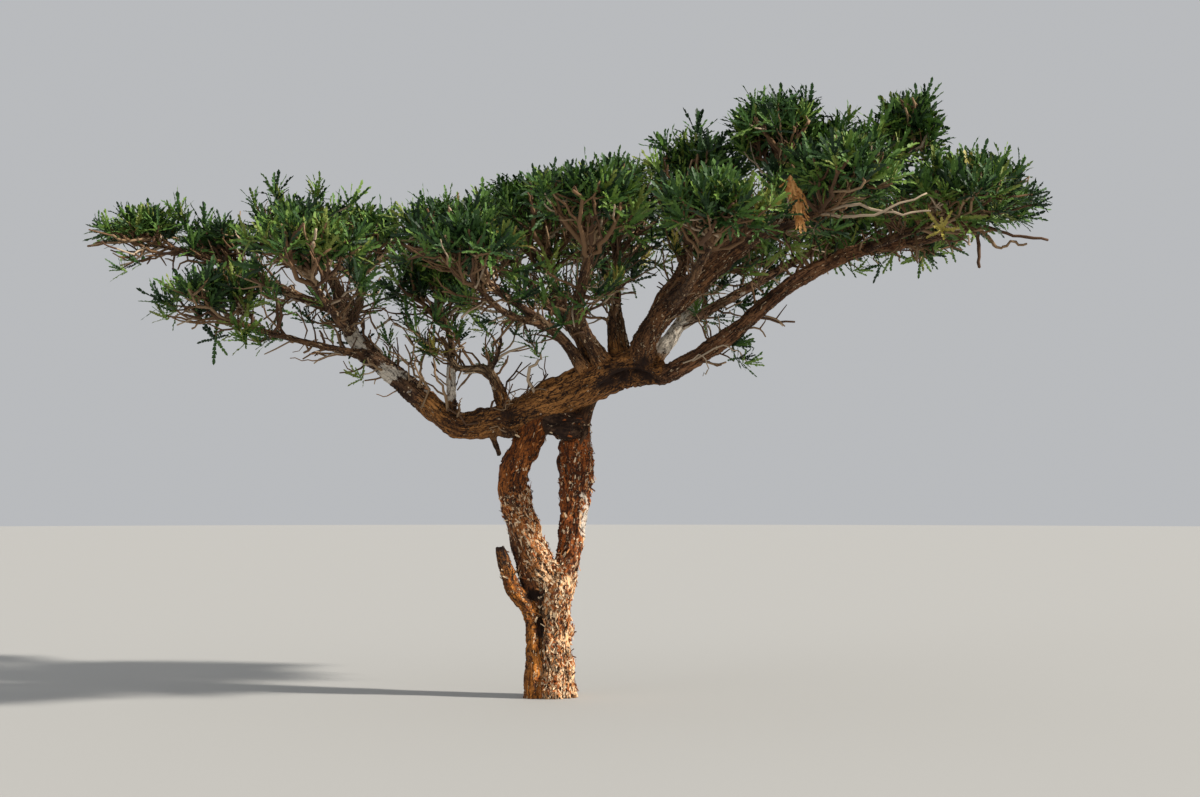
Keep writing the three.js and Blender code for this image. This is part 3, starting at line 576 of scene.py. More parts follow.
class Skin:
    """Limbs fused and smoothed where they fork. Each point knows its nearest limb, the heading
    there, the place on that limb if it were straight, (r cos a, r sin a, distance run), and how
    much of the limb's own grain shows there."""

    def __init__(self, members, voxel, rounds):
        self.members = members
        points, self.quads = fused([limb.surface() for limb in members], voxel)
        self.points = smoothed(points, self.quads, rounds)
        kinds = zip(*(limb.beads(BEAD_STEP) for limb in members))
        centre, heading, across, up, run, radius, owner = map(np.concatenate, kinds)
        nearest = np.empty(len(points), int)
        gap = np.empty(len(points))
        for low in range(0, len(points), CHUNK):
            block = self.points[low:low + CHUNK, None]
            distance = np.linalg.norm(block - centre, axis=2) - radius
            best = np.argmin(distance, axis=1)
            others = np.where(owner == owner[best, None], np.inf, distance)
            nearest[low:low + CHUNK] = best
            gap[low:low + CHUNK] = others.min(axis=1) - distance.min(axis=1)
        out = self.points - centre[nearest]
        self.heading = heading[nearest]
        self.owner = owner[nearest]
        self.run = run[nearest] + np.einsum("ij,ij->i", out, self.heading)
        x = np.einsum("ij,ij->i", out, across[nearest])
        y = np.einsum("ij,ij->i", out, up[nearest])
        self.size = np.clip(np.hypot(x, y) / FULL_RELIEF_RADIUS, LEAST_RELIEF, 1)
        self.grain = np.column_stack([x, y, self.run]) + self.owner[:, None] * APART
        self.shown = np.clip(gap / GRAIN_FADE, 0, 1)

    def look(self):
        """The limbs' looks spread over the points: three numbers of colour, then the four shares.
        Near its foot a limb takes on its parent's look."""
        every = list(limbs.values())
        looks = [LOOKS.get(limb.name, THIN_LOOK) for limb in every]
        table = np.array([[*rgb(*look[0])[:3], *look[1:]] for look in looks])
        parent = np.array([limb.parent.phase if limb.parent else limb.phase for limb in every])
        buried = np.array([limb.buried for limb in every])
        share = np.exp(-np.maximum(self.run - buried[self.owner], 0) / LOOK_FADE)[:, None]
        return table[self.owner] * (1 - share) + table[parent[self.owner]] * share

    def relief(self):
        """Height, painted shade, flakiness, wear and rings. The height sums lumps (wide noise), flutes
        (noise stretched along the limb), layers (stairs cut from stretched noise, with painted shade at
        the foot of each), rings (a sine of the distance run, bent by noise) and the spots' bells,
        exp(-d2) of the distance in radii. The painted shade also grows in hollows and with the spots'
        dark."""
        flaky, worn, layered, ringed = self.look()[:, 3:].T
        lumps = sum(high * noise(self.points / wide, seed) for high, wide, seed in LUMPS)
        flutes = FLUTE_HEIGHT * noise(self.grain / FLUTE_WIDTHS, 3)
        warp = [noise(self.grain / WARP_WIDTH, 4 + axis) for axis in range(3)]
        grain = (self.grain + WARP * np.column_stack(warp)) / self.size[:, None]
        level = sum(count * noise(grain / widths, seed) for count, widths, seed in LAYERS)
        part = level - np.floor(level)
        stairs = np.floor(level) + np.clip(part / LAYER_STEEP, 0, 1)
        bend = RING_BEND * noise(self.grain / BEND_WIDTH, 9)
        rings = RING_HEIGHT * np.sin(self.grain[:, 2] * 2 * math.pi / RING_SPACING + bend)
        rings = rings * (RING_SHARE + noise(self.grain / SHARE_WIDTH, 12))
        own = layered * (flutes + LAYER_HEIGHT * stairs) * self.size + ringed * rings
        height = lumps * self.size + own * self.shown
        painted_shade = layered * self.shown * np.clip(1 - part / LAYER_SHADE, 0, 1)
        # Painted shade in hollows: the lower the lumps and flutes, the darker.
        painted_shade = painted_shade - HOLLOW_SHADE * (lumps + layered * flutes)
        for centre, radii, rise, pale, dark in SPOTS:
            away = (self.points - np.array(centre) * MM) / (np.array(radii) * MM)
            bell = np.exp(-np.sum(away * away, axis=1))
            height = height + rise * MM * bell
            painted_shade = painted_shade + SPOT_SHADE * dark * bell
            worn = worn + pale * bell
        return height, np.clip(painted_shade, 0, 1), flaky, np.clip(worn, 0, 1), ringed

    def piece(self, name, slot, material):
        """The skin with its relief, as a piece that stands for its limbs. Its tint has painted light
        above and on the sunny side, toward +X, and painted shade below and on the far side; it flakes
        more on the sunny side."""
        height, painted_shade, flaky, worn, ringed = self.relief()
        raised = self.points + normals_of(self.points, self.quads) * height[:, None]
        self.points = smoothed(raised, self.quads, 1)
        facing = normals_of(self.points, self.quads)
        flaky = flaky * (1 + SUNNY_FLAKES * facing[:, 0])
        self.flaky = flaky * (1 - worn) * (1 - painted_shade) * (1 - ringed)
        # Painted light and shade: the tint is lighter where the bark faces up and toward the sun, darker
        # where it faces down and away.
        light = PAINTED_LIGHT_SHARE + PAINTED_LIGHT_ABOVE * facing[:, 2:] + PAINTED_LIGHT_SUNNY * facing[:, :1]
        tint = self.look()[:, :3] * light
        mesh = mesh_of(name, self.points, [self.quads])
        # The painted shade goes to the material together with the flakiness and the wear.
        shade_and_marks = np.column_stack([painted_shade, flaky, worn])
        for layer_name, kind, field, values in (
                ("grain", "FLOAT_VECTOR", "vector", self.grain),
                ("shade_and_marks", "FLOAT_VECTOR", "vector", shade_and_marks),
                ("rings", "FLOAT", "value", ringed),
                ("tint", "FLOAT_COLOR", "color", np.insert(tint, 3, 1, axis=1))):
            layer = mesh.attributes.new(layer_name, kind, "POINT")
            layer.data.foreach_set(field, values.astype(np.float32).ravel())
        cut_at_ground(mesh)
        shown(mesh, nodes_of(self.members), [material])


def cut_at_ground(mesh):
    """Cuts off what lies below the ground and closes the cut with a flat face."""
    work = bmesh.new()
    work.from_mesh(mesh)
    if min(v.co.z for v in work.verts) < 0:
        everything = work.verts[:] + work.edges[:] + work.faces[:]
        bmesh.ops.bisect_plane(work, geom=everything, dist=1e-6, plane_co=(0, 0, 0),
                               plane_no=(0, 0, 1), clear_inner=True)
        rim = [edge for edge in work.edges if edge.is_boundary]
        bmesh.ops.holes_fill(work, edges=rim, sides=0)
        work.to_mesh(mesh)
    work.free()


# Shader maths

class Sock:
    """A shader socket that can be written into expressions: values by Math nodes, colours and
    vectors by Mix and Vector Math. One without a socket only makes nodes in its tree."""

    def __init__(self, tree, socket):
        self.tree = tree
        self.socket = socket

    def node(self, kind, settings=None, **values):
        """Any node: its settings first, then the values or links of its inputs by name or _number."""
        made = self.tree.nodes.new(kind)
        for key, value in (settings or {}).items():
            setattr(made, key, value)
        for key, value in values.items():
            slot = made.inputs[int(key[1:])] if key[0] == "_" else made.inputs[key.replace("_", " ")]
            if isinstance(value, Sock):
                self.tree.links.new(value.socket, slot)
            else:
                slot.default_value = value
        return made

    def out(self, made, name=0):
        """One output of a node, by name or number."""
        return Sock(self.tree, made.outputs[name])

    def attribute(self, name, kind):
        """What the mesh holds under a name, as a Vector, a Color or a Fac."""
        return self.out(self.node("ShaderNodeAttribute", {"attribute_name": name}), kind)

    def maths(self, operation, a, b=0):
        """A Math node's result; an operation on one value leaves the other alone."""
        return self.out(self.node("ShaderNodeMath", {"operation": operation}, _0=a, _1=b))

    def __add__(self, other):
        return self.maths("ADD", self, other)

    __radd__ = __add__

    def __mul__(self, other):
        return self.maths("MULTIPLY", self, other)

    __rmul__ = __mul__

    def __sub__(self, other):
        return self.maths("SUBTRACT", self, other)

    def __rsub__(self, other):
        return self.maths("SUBTRACT", other, self)

    def step(self, low, high):
        """0 below low, 1 above high, smooth between."""
        ranged = self.node("ShaderNodeMapRange", {"interpolation_type": "SMOOTHSTEP"},
                           Value=self, From_Min=low, From_Max=high)
        return self.out(ranged)

    def colour(self, first, second):
        """This value blends one colour into another."""
        mixed = self.node("ShaderNodeMix", {"data_type": "RGBA"}, _0=self, _6=first, _7=second)
        return self.out(mixed, 2)

    def scaled(self, factors):
        """This vector, each part times its factor."""
        return self.out(self.node("ShaderNodeVectorMath", {"operation": "MULTIPLY"},
                                  _0=self, _1=factors))

    def parts(self):
        """The three parts of this vector."""
        split = self.node("ShaderNodeSeparateXYZ", None, Vector=self)
        return [self.out(split, part) for part in range(3)]

    def noise(self, scale, detail, rough=0.55):
        """Noise from 0 to 1 at the place that this vector gives."""
        return self.out(self.node("ShaderNodeTexNoise", None, Vector=self, Scale=scale,
                                  Detail=detail, Roughness=rough))


def rgb(red, green, blue):
    """A colour from 8-bit screen values, made linear."""
    def linear(value):
        share = value / 255
        return share / 12.92 if share <= 0.04045 else ((share + 0.055) / 1.055) ** 2.4
    return (linear(red), linear(green), linear(blue), 1)


# The specular level of bark and leaves.
GLOSS = 0.25


def new_material(name, roughness):
    """A material of one roughness, and its shader."""
    made = bpy.data.materials.new(name)
    made.use_nodes = True
    shader = made.node_tree.nodes["Principled BSDF"]
    shader.inputs["Roughness"].default_value = roughness
    shader.inputs["Specular IOR Level"].default_value = GLOSS
    return made, shader


# How many times as bright as its tint the bark's dark and pale streaks and its paper are.
DARK_STREAK, PALE_STREAK, PAPER = (0.24, 0.19, 0.16), (1.42, 1.4, 1.36), (1.5, 1.5, 1.6)
BUMP_STRENGTH, BUMP_HEIGHT = 0.8, 0.007


def bark_material(name, flake, bare, dark):
    """Bark: the mesh's tint in light and dark streaks, papery flakes where noise stretched along the
    limb stands above a level that falls with the mesh's flakiness, a painted shadow along their edges,
    fissures where a long noise passes its middle, fine wrinkles across the limb, pale patches
    where the mesh is worn, and painted shade, in the colour dark, in the mesh's cracks and hollows, in
    the fissures, in the wrinkles' grooves and in fine gaps."""
    made, shader = new_material(name, 0.9)
    make = Sock(made.node_tree, None)
    grain = make.attribute("grain", "Vector")
    tint = make.attribute("tint", "Color")
    painted_shade, flaky, worn = make.attribute("shade_and_marks", "Vector").parts()
    rings = make.attribute("rings", "Fac")
    run = grain.parts()[2]
    clouds = grain.noise(5, 3)
    strips = grain.scaled((1, 1, 0.45)).noise(34, 6, 0.62)
    small = grain.scaled((1, 1, 0.5)).noise(95, 4, 0.6)
    streaks = grain.scaled((1, 1, 0.15)).noise(50, 4)
    fissures = grain.scaled((1, 1, 0.2)).noise(26, 4, 0.6) - 0.5
    fissure = 1 - (fissures * fissures).step(0, 0.0009)
    tone = (clouds * 0.3 + streaks * 0.4 + small * 0.3).step(0.4, 0.62)
    base = tone.colour(tint.scaled(DARK_STREAK), tint.scaled(PALE_STREAK))
    lift = strips * 0.6 + small * 0.4 + flaky * 0.16 - 0.62
    flaked = lift.step(0, 0.02)
    paper = small.step(0.38, 0.6).colour(tint.scaled(PAPER), flake)
    base = (flaked * 0.85).colour(base, paper)
    # Painted shadow: a dark line just outside each flake's edge.
    rim = lift.step(-0.05, -0.005) * (1 - flaked)
    patch = (grain.noise(11, 5, 0.6) + worn * 0.42).step(0.74, 0.8)
    base = (patch * 0.8).colour(base, bare)
    # The wrinkles' grooves, which the bump lowers, get painted shade.
    wave = make.maths("SINE", run * 210 + clouds * 60)
    wrinkle = wave.step(0.1, 1) * rings * grain.noise(8, 2).step(0.45, 0.6)
    # Painted shade: in the mesh's cracks and hollows, under the flakes' edges, in the wrinkles' grooves,
    # in fine gaps where the small noise and the bump are low, and in the fissures; worn patches get less
    # of it.
    shade = painted_shade * 0.9 + rim * 0.6 + wrinkle * 0.3 + (1 - small.step(0.3, 0.46)) * 0.35
    shade = (shade + fissure * 0.7) * (1 - patch * 0.35)
    base = shade.step(0.05, 1).colour(base, dark)
    rough = small * 0.2 + 0.75
    height = flaked * 0.5 + small * 0.5 + streaks * 0.6 - wrinkle * 0.5 - fissure * 0.6
    raised = make.out(make.node("ShaderNodeBump", None, Strength=BUMP_STRENGTH,
                                Distance=BUMP_HEIGHT, Height=height))
    for varied, name in ((base, "Base Color"), (rough, "Roughness"), (raised, "Normal")):
        made.node_tree.links.new(varied.socket, shader.inputs[name])
    return made


def plain_material(name, colour, roughness):
    """A material of one colour."""
    made, shader = new_material(name, roughness)
    shader.inputs["Base Color"].default_value = colour
    return made


def tone_materials(name, tones, roughness):
    """One plain material for each tone, numbered from 1."""
    return [plain_material(f"{name} {i}", tone, roughness) for i, tone in enumerate(tones, 1)]


# The bark's flake, bare and painted-shade colours.
bark = bark_material("bark", rgb(226, 198, 160), rgb(222, 212, 196), rgb(36, 21, 14))

# The two heavy boughs that go on from the hub have a skin of their own.
HUB_BOUGHS = ("thick_bough", "right_low_bough")
# The thin limbs form three skins, parted by how far to the right their tips stand.
MIDDLE_FROM, RIGHT_FROM = 0, 1.75


def thin_between(left, right):
    """The limbs with thin bark whose tips stand between two distances to the right."""
    return [limb for limb in limbs.values()
            if limb.bark == "thin" and left <= limb.points[-1, 0] < right]


# Trunk, stems and the other heavy boughs share one skin.
THICK = [limb for limb in limbs.values() if limb.bark != "thin" and limb.name not in HUB_BOUGHS]
# The skins: name, slot, the size of their quads in metres, rounds of smoothing and limbs.
SKINS = (
    ("trunk_skin", "trunk_bark", 0.0085, 9, THICK),
    ("bough_skin", "bough_bark", 0.0085, 7, [limbs[name] for name in HUB_BOUGHS]),
    ("thin_skin_left", "thin_bark", 0.007, 5, thin_between(-math.inf, MIDDLE_FROM)),
    ("thin_skin_middle", "thin_bark", 0.007, 5, thin_between(MIDDLE_FROM, RIGHT_FROM)),
    ("thin_skin_right", "thin_bark", 0.007, 5, thin_between(RIGHT_FROM, math.inf)),
)
skins = {}
for skin_name, slot, voxel, rounds, members in SKINS:
    skins[skin_name] = Skin(members, voxel, rounds)
    skins[skin_name].piece(skin_name, slot, bark)


# Papery flakes that curl off the trunk and the stems

FLAKES = 5200
# Length and width in metres, curl as a share of the length, and how deep below the bark's points in
# metres they start.
FLAKE_LENGTH, FLAKE_WIDTH, FLAKE_CURL = (0.014, 0.055), (0.006, 0.019), (0.02, 0.3)
FLAKE_SUNK = 0.002
# Rows of three points: the share of the length, and of the full width.
FLAKE_ROWS = ((0, 0.8), (0.5, 1.0), (1, 0.75))
FLAKE_QUADS = np.array([[3, 4, 1, 0], [4, 5, 2, 1], [6, 7, 4, 3], [7, 8, 5, 4]])
# How far a flake turns from the limb's heading, in radians, how far its sides cup, and how its width
# varies from row to row and from side to side.
FLAKE_TURN, FLAKE_CUP, FLAKE_RAGGED = 0.5, 0.3, (0.7, 1.2)
# The power of the skin's flakiness that a flake's chance goes by.
FLAKE_POWER = 1.5
# Clusters: their width in metres, a flake's chance on average, how far it swings, and its limits.
CLUSTER_WIDTH, CLUSTER_MEAN, CLUSTER_SWING, CLUSTER_RANGE = 0.09, 0.35, 1.6, (0.03, 1.2)
# No flake stands lower above the ground than this.
FLAKELESS_HEIGHT = 0.05
FLAKE_TONES = [rgb(222, 194, 158), rgb(188, 126, 74), rgb(150, 82, 38), rgb(78, 46, 30)]
FLAKE_CHANCES = [0.3, 0.25, 0.23, 0.22]


def flakes(skin, rng):
    """Flakes at chosen points of a skin, in clusters and more where it is flaky: nine points each, in
    rows at shares u of the length, which lift off the bark by curl u2 and are widest halfway."""
    clusters = CLUSTER_MEAN + CLUSTER_SWING * noise(skin.points / CLUSTER_WIDTH, 40)
    chance = np.maximum(skin.flaky, 0) ** FLAKE_POWER * np.clip(clusters, *CLUSTER_RANGE)
    chance = np.where(skin.points[:, 2] > FLAKELESS_HEIGHT, chance, 0)
    chosen = rng.choice(len(chance), FLAKES, p=chance / chance.sum())
    normal = normals_of(skin.points, skin.quads)[chosen]
    turn = rng.normal(0, FLAKE_TURN, (FLAKES, 1))
    heading = skin.heading[chosen] * rng.choice([-1, 1], (FLAKES, 1))
    heading = unit(heading - normal * np.sum(heading * normal, axis=1)[:, None])
    side = np.cross(normal, heading)
    heading, side = (np.cos(turn) * heading + np.sin(turn) * side,
                     np.cos(turn) * side - np.sin(turn) * heading)
    length = between(FLAKE_LENGTH, rng, (FLAKES, 1))
    width = between(FLAKE_WIDTH, rng, (FLAKES, 1))
    curl = between(FLAKE_CURL, rng, (FLAKES, 1)) * length
    corners = []
    for u, share in FLAKE_ROWS:
        middle = skin.points[chosen] - FLAKE_SUNK * normal + length * u * heading
        middle = middle + curl * u * u * normal
        for across in (-1, 0, 1):
            edge = across * share * width / 2 * between(FLAKE_RAGGED, rng, (FLAKES, 1))
            corners.append(middle + edge * side + abs(edge) * FLAKE_CUP * normal * (1 if u else 0))
    points = np.stack(corners, axis=1).reshape(-1, 3)
    quads = FLAKE_QUADS + len(corners) * np.arange(FLAKES)[:, None, None]
    mesh = mesh_of("bark_flakes", points, [quads.reshape(-1, 4)])
    shown(mesh, nodes_of(skin.members), tone_materials("flake", FLAKE_TONES, 0.9))
    tones = np.repeat(rng.choice(len(FLAKE_TONES), FLAKES, p=FLAKE_CHANCES), len(FLAKE_QUADS))
    mesh.polygons.foreach_set("material_index", tones.astype(np.int32))


flakes(skins["trunk_skin"], np.random.default_rng(5))


# The masses: their spaces and the spiral of their twigs, as in the solids

# How far the heart stands beyond the limb's tip and above it, and the gap to a neighbour's space.
HEART_LEAD, HEART_RISE, SPACE_GAP = 0.06, 0.07, 0.004
# How far below level the spiral of twigs goes, as a share of its rise. A mass whose heart stands
# nearer to the viewer than FRONT is in front: there the spiral ends above level and no offshoot ends
# below the heart, so that the limbs behind show.
TWIG_DIP, FRONT, FRONT_DIP = 0.2, -0.9, -0.35
# How many times further the primaries in front lean toward the middle of the tree.
INWARD = 2.4
# The lobes: how finely they vary with the heading, how far apart two masses' lobes lie in the noise,
# what share of its room a twig has on average, how far that swings, and its least.
LOBE_SCALE, LOBE_SHIFT, LOBE_MEAN, LOBE_SWING, LEAST_LOBE = 2.6, 7.3, 0.92, 0.3, 0.64
# What share of that a twig keeps, how many twigs lead to the full reach, and in metres the room that
# is kept for a leaf beyond a twig's end and the least room.
OWN_SHARE, LEADERS, LEAF_ROOM, LEAST_ROOM = (0.62, 1.0), 0.2, 0.11, 0.06
# Twigs leave the limb below the mass no nearer to its base than this share of its run.
LEAST_STEM_AT = 0.4
# How far twigs pass the planes, so that neighbouring masses knit together.
OVERLAP = 0.18
# How much deeper a mass goes toward the middle of the tree, and how near the middle its heart stands
# where it goes so deep to both sides.
DEEPER, MIDDLE_ROW = 1.4, 0.4
# Masses that are flatter on one side: the side, and what share of the radius is left toward it.
FLATTER = {
    "left_tip_bough": ((0, 0, 1), 0.3), "left_mid_bough": ((0, 0, 1), 0.5),
    "left_high_bough": ((0, 0, 1), 0.5), "left_back_bough": ((0, 0, 1), 0.8),
    "front_left_bough": ((0, 0, 1), 0.85), "near_bough": ((0, -1, 0), 0.88),
    "crest_bough": ((0, 0, 1), 0.8), "spire_bough": ((0.75, 0, 0.66), 0.4),
}


class Space:
    """The space of a mass: an ellipsoid round its heart, cut by a plane toward every other heart."""

    def __init__(self, limb):
        self.limb = limb
        self.tip, self.heading = limb.at(1)
        self.heart = self.tip + HEART_LEAD * self.heading + HEART_RISE * UPWARDS
        self.size = float(np.cbrt(np.prod(limb.crown)))
        self.in_front = self.heart[1] < FRONT
        side, left = FLATTER.get(limb.name, ((0, 0, 1), 1))
        self.flat_side = np.array(side)
        self.flatness = 1 / left - 1

    def meet(self, spaces):
        """Sets the planes toward the other hearts, each at the share of the way that the two masses'
        sizes give, less a small gap."""
        others = [space for space in spaces if space is not self]
        gaps = np.array([space.heart - self.heart for space in others])
        sizes = np.array([space.size for space in others])
        lengths = np.linalg.norm(gaps, axis=1)
        self.planes = unit(gaps)
        self.offsets = lengths * self.size / (self.size + sizes) - SPACE_GAP

    def reach(self, headings, beyond=0):
        """How far the mass goes from its heart along unit headings: to the ellipsoid, or to a
        distance beyond the first plane."""
        facing = headings @ self.planes.T
        cut = np.where(facing > 1e-6, (self.offsets + beyond) / np.maximum(facing, 1e-6), np.inf)
        return np.minimum(self.full_reach(headings), cut.min(axis=-1))

    def full_reach(self, headings):
        """1 / |heading / radii|, with what points to the flatter side made longer first, and the
        radius in depth made longer toward the middle of the tree."""
        toward = np.maximum(headings @ self.flat_side, 0)[..., None] * self.flat_side
        shares = (headings + self.flatness * toward) / self.limb.crown
        inward = np.sign(headings[..., 1]) * self.heart[1] < MIDDLE_ROW
        shares[..., 1] /= np.where(inward, DEEPER, 1)
        return 1 / np.linalg.norm(shares, axis=-1)

    def stem_at(self, back):
        """The place on the stem, and on behind it on the limb, that far back from the heart."""
        stem = np.linalg.norm(self.heart - self.tip)
        if back < stem:
            return self.heart + (self.tip - self.heart) * back / stem
        return self.limb.at(max(1 - (back - stem) / self.limb.length, LEAST_STEM_AT))[0]

    def bounded(self, ends, rng):
        """Ends drawn in toward the heart until a leaf has room beyond them. The room swells and
        shrinks with the heading, so that the crown has lobes and dips, and each twig but a
        leader keeps a share of its own. The spire's twigs keep a share of their reach."""
        out = ends - self.heart
        heading = unit(out)
        lobes = heading * LOBE_SCALE + self.limb.phase * LOBE_SHIFT
        lobes = LOBE_MEAN + LOBE_SWING * noise(lobes, 20)
        lobes = np.clip(lobes, LEAST_LOBE, 1) * between(OWN_SHARE, rng, len(ends))
        lobes = np.where(rng.random(len(ends)) < LEADERS, 1, lobes)
        if self.limb.name == "spire_bough":
            lobes = lobes * SPIRE_REACH
        room = np.maximum(self.reach(heading, OVERLAP) * lobes - LEAF_ROOM, LEAST_ROOM)
        return self.heart + heading * np.minimum(np.linalg.norm(out, axis=1), room)[:, None]


def spiral(count, dip, phase):
    """A golden spiral of headings from the zenith down to minus the dip: each rises evenly less than
    the one before, and is turned from it by the golden angle."""
    k = np.arange(count)
    rise = 1 - (k + 0.5) / count * (1 + dip)
    out = np.sqrt(1 - rise * rise)
    turn = k * GOLDEN_ANGLE + phase
    return np.column_stack([out * np.cos(turn), out * np.sin(turn), rise])


def side_axes(headings):
    """Two axes square to each heading."""
    helper = np.where(np.abs(headings[:, 2:]) < 0.9, UPWARDS, np.array([1.0, 0, 0]))
    side = unit(np.cross(headings, helper))
    return side, np.cross(side, headings)


spaces = [Space(limb) for limb in limbs.values() if limb.crown is not None]
for space in spaces:
    space.meet(spaces)


# Twigs

TWIG_TONES = [rgb(92, 68, 50), rgb(118, 90, 64), rgb(144, 118, 90), rgb(176, 156, 132)]
TWIG_CHANCES = [0.32, 0.36, 0.22, 0.10]
DARK_CHANCES = [1, 0, 0, 0]
# How far a twig's rings stray from its line, as a share of its length, and each of their points from
# the ring, as a share of its radius. The last pole stands this many radii out.
KINK, ROUGH, TWIG_POLE = 0.03, 0.16, 0.7


class Twigs:
    """Bent tubes gathered from many calls and built as one mesh."""

    def __init__(self):
        self.parts = []
        self.tones = []

    def add(self, start, end, bow, girths, steps, sides, rng, bent=KINK):
        """Tubes from start to end: a quadratic bow off the chord, 4 u (1 - u) bow, a kink at every
        ring, and girths that run evenly from base to tip. The first four arguments are arrays with
        one row a tube."""
        u = np.linspace(0, 1, steps + 1)[None, :, None]
        line = start[:, None] + u * (end - start)[:, None] + 4 * u * (1 - u) * bow[:, None]
        length = np.linalg.norm(end - start, axis=1)[:, None, None]
        kink = rng.normal(0, bent, line.shape) * length
        kink[:, 0] = 0
        kink[:, -1] = 0
        return self.tubes(line + kink, girths, sides, rng)

    def tubes(self, line, girths, sides, rng, chances=TWIG_CHANCES):
        """Tubes along lines of points, one row a tube, each in a tone picked by the chances. Gives
        back the lines and the headings along them."""
        heading = unit(np.gradient(line, axis=1))
        across, up = side_axes(heading.reshape(-1, 3))
        across, up = across.reshape(line.shape), up.reshape(line.shape)
        u = np.linspace(0, 1, line.shape[1])[None]
        radius = ((girths[:, :1] * (1 - u) + girths[:, 1:] * u) / 2)[..., None, None]
        radius = radius * (1 + rng.uniform(-ROUGH, ROUGH, (*line.shape[:2], sides, 1)))
        angle = (np.arange(sides) * 2 * math.pi / sides)[:, None]
        rings = line[:, :, None] + radius * (
            np.cos(angle) * across[:, :, None] + np.sin(angle) * up[:, :, None])
        tips = line[:, -1] + heading[:, -1] * radius[:, -1, 0] * TWIG_POLE
        amount = len(rings)
        points, quads, triangles = tube_mesh(rings[0], line[0, 0], tips[0])
        every = np.concatenate([rings.reshape(amount, -1, 3), line[:, :1], tips[:, None]], axis=1)
        shift = (np.arange(amount) * len(points))[:, None, None]
        self.parts.append((every.reshape(-1, 3), (quads[None] + shift).reshape(-1, 4),
                           (triangles[None] + shift).reshape(-1, 3)))
        tone = rng.choice(len(TWIG_TONES), amount, p=chances)
        self.tones.append((np.repeat(tone, len(quads)), np.repeat(tone, len(triangles))))
        return line, heading

    def piece(self, name, nodes):
        """All the tubes as one piece."""
        points, quads, triangles = joined(self.parts)
        mesh = mesh_of(name, points, [quads, triangles])
        shown(mesh, nodes, twig_materials)
        tones = [np.concatenate(kind) for kind in zip(*self.tones)]
        mesh.polygons.foreach_set("material_index", np.concatenate(tones).astype(np.int32))


twig_materials = tone_materials("twig", TWIG_TONES, 0.85)


# Leaves: a ribbed row of toothed leaflets on each side, in rosettes

# Pairs of leaflets on a leaf, the leaf's length in metres, and the longest leaflet's as a share of it.
LEAFLETS, LEAF_LENGTH, LEAF_WIDTH = 6, (0.135, 0.215), 0.105
# In pitches from one pair to the next: how far up the rib the first pair stands, and the rib's length.
FIRST_PAIR, RIB_PITCHES = 0.6, LEAFLETS + 0.4
# How far a leaflet's foot reaches along the rib to both sides, and where its shoulder and its tip
# stand, in half pitches; the shoulder's share of its length; and its sweep toward the leaf's tip.
FOOT, SHOULDER, TIP, SHOULDER_OUT, SWEEP = 1.08, -0.75, 0.7, 0.8, 0.3
# How far a leaflet is lifted out of the leaf's plane, and how its length varies.
LEAFLET_LIFT, LEAFLET_LENGTH = (-0.25, 0.85), (0.65, 1.2)
# The leaflet at the leaf's end: its foot, middle and tip on the rib, and how far its sides stand out.
LAST_PLACES, LAST_SPREAD = np.array([0.9, 0.97, 1.06]), 0.06
# How many leaves a rosette has, and the length of twig in metres that they leave from.
ROSETTE_LEAST, ROSETTE_MOST, ROSETTE_DEPTH = 8, 13, 0.06
# How large one rosette's leaves are beside another's.
ROSETTE_SIZE = (0.8, 1.1)
# A leaf's lean from the twig: the innermost one's in degrees, what the outermost adds to that, and in
# radians how far it varies.
LEAN_FIRST, LEAN_ADDED, LEAN_VARIES = 14, 68, 0.14
# How far a leaf's tip droops, as a share of its length.
LEAF_DROOP = (-0.12, 0.2)
# How far in metres leaves that rise by more than SPIKE_RISE may stand out, and what share of them do.
SPIKE, SPIKES, SPIKE_RISE = 0.12, 0.4, 0.6
# A leaf that would have to be shorter than this share of its length is left out.
LEAST_LEAF = 0.55
# How far leaves turn up toward the light, and how far dead ones hang.
LEAF_RISE, DEAD_RISE = (0, 0.3), (-2.4, -0.9)


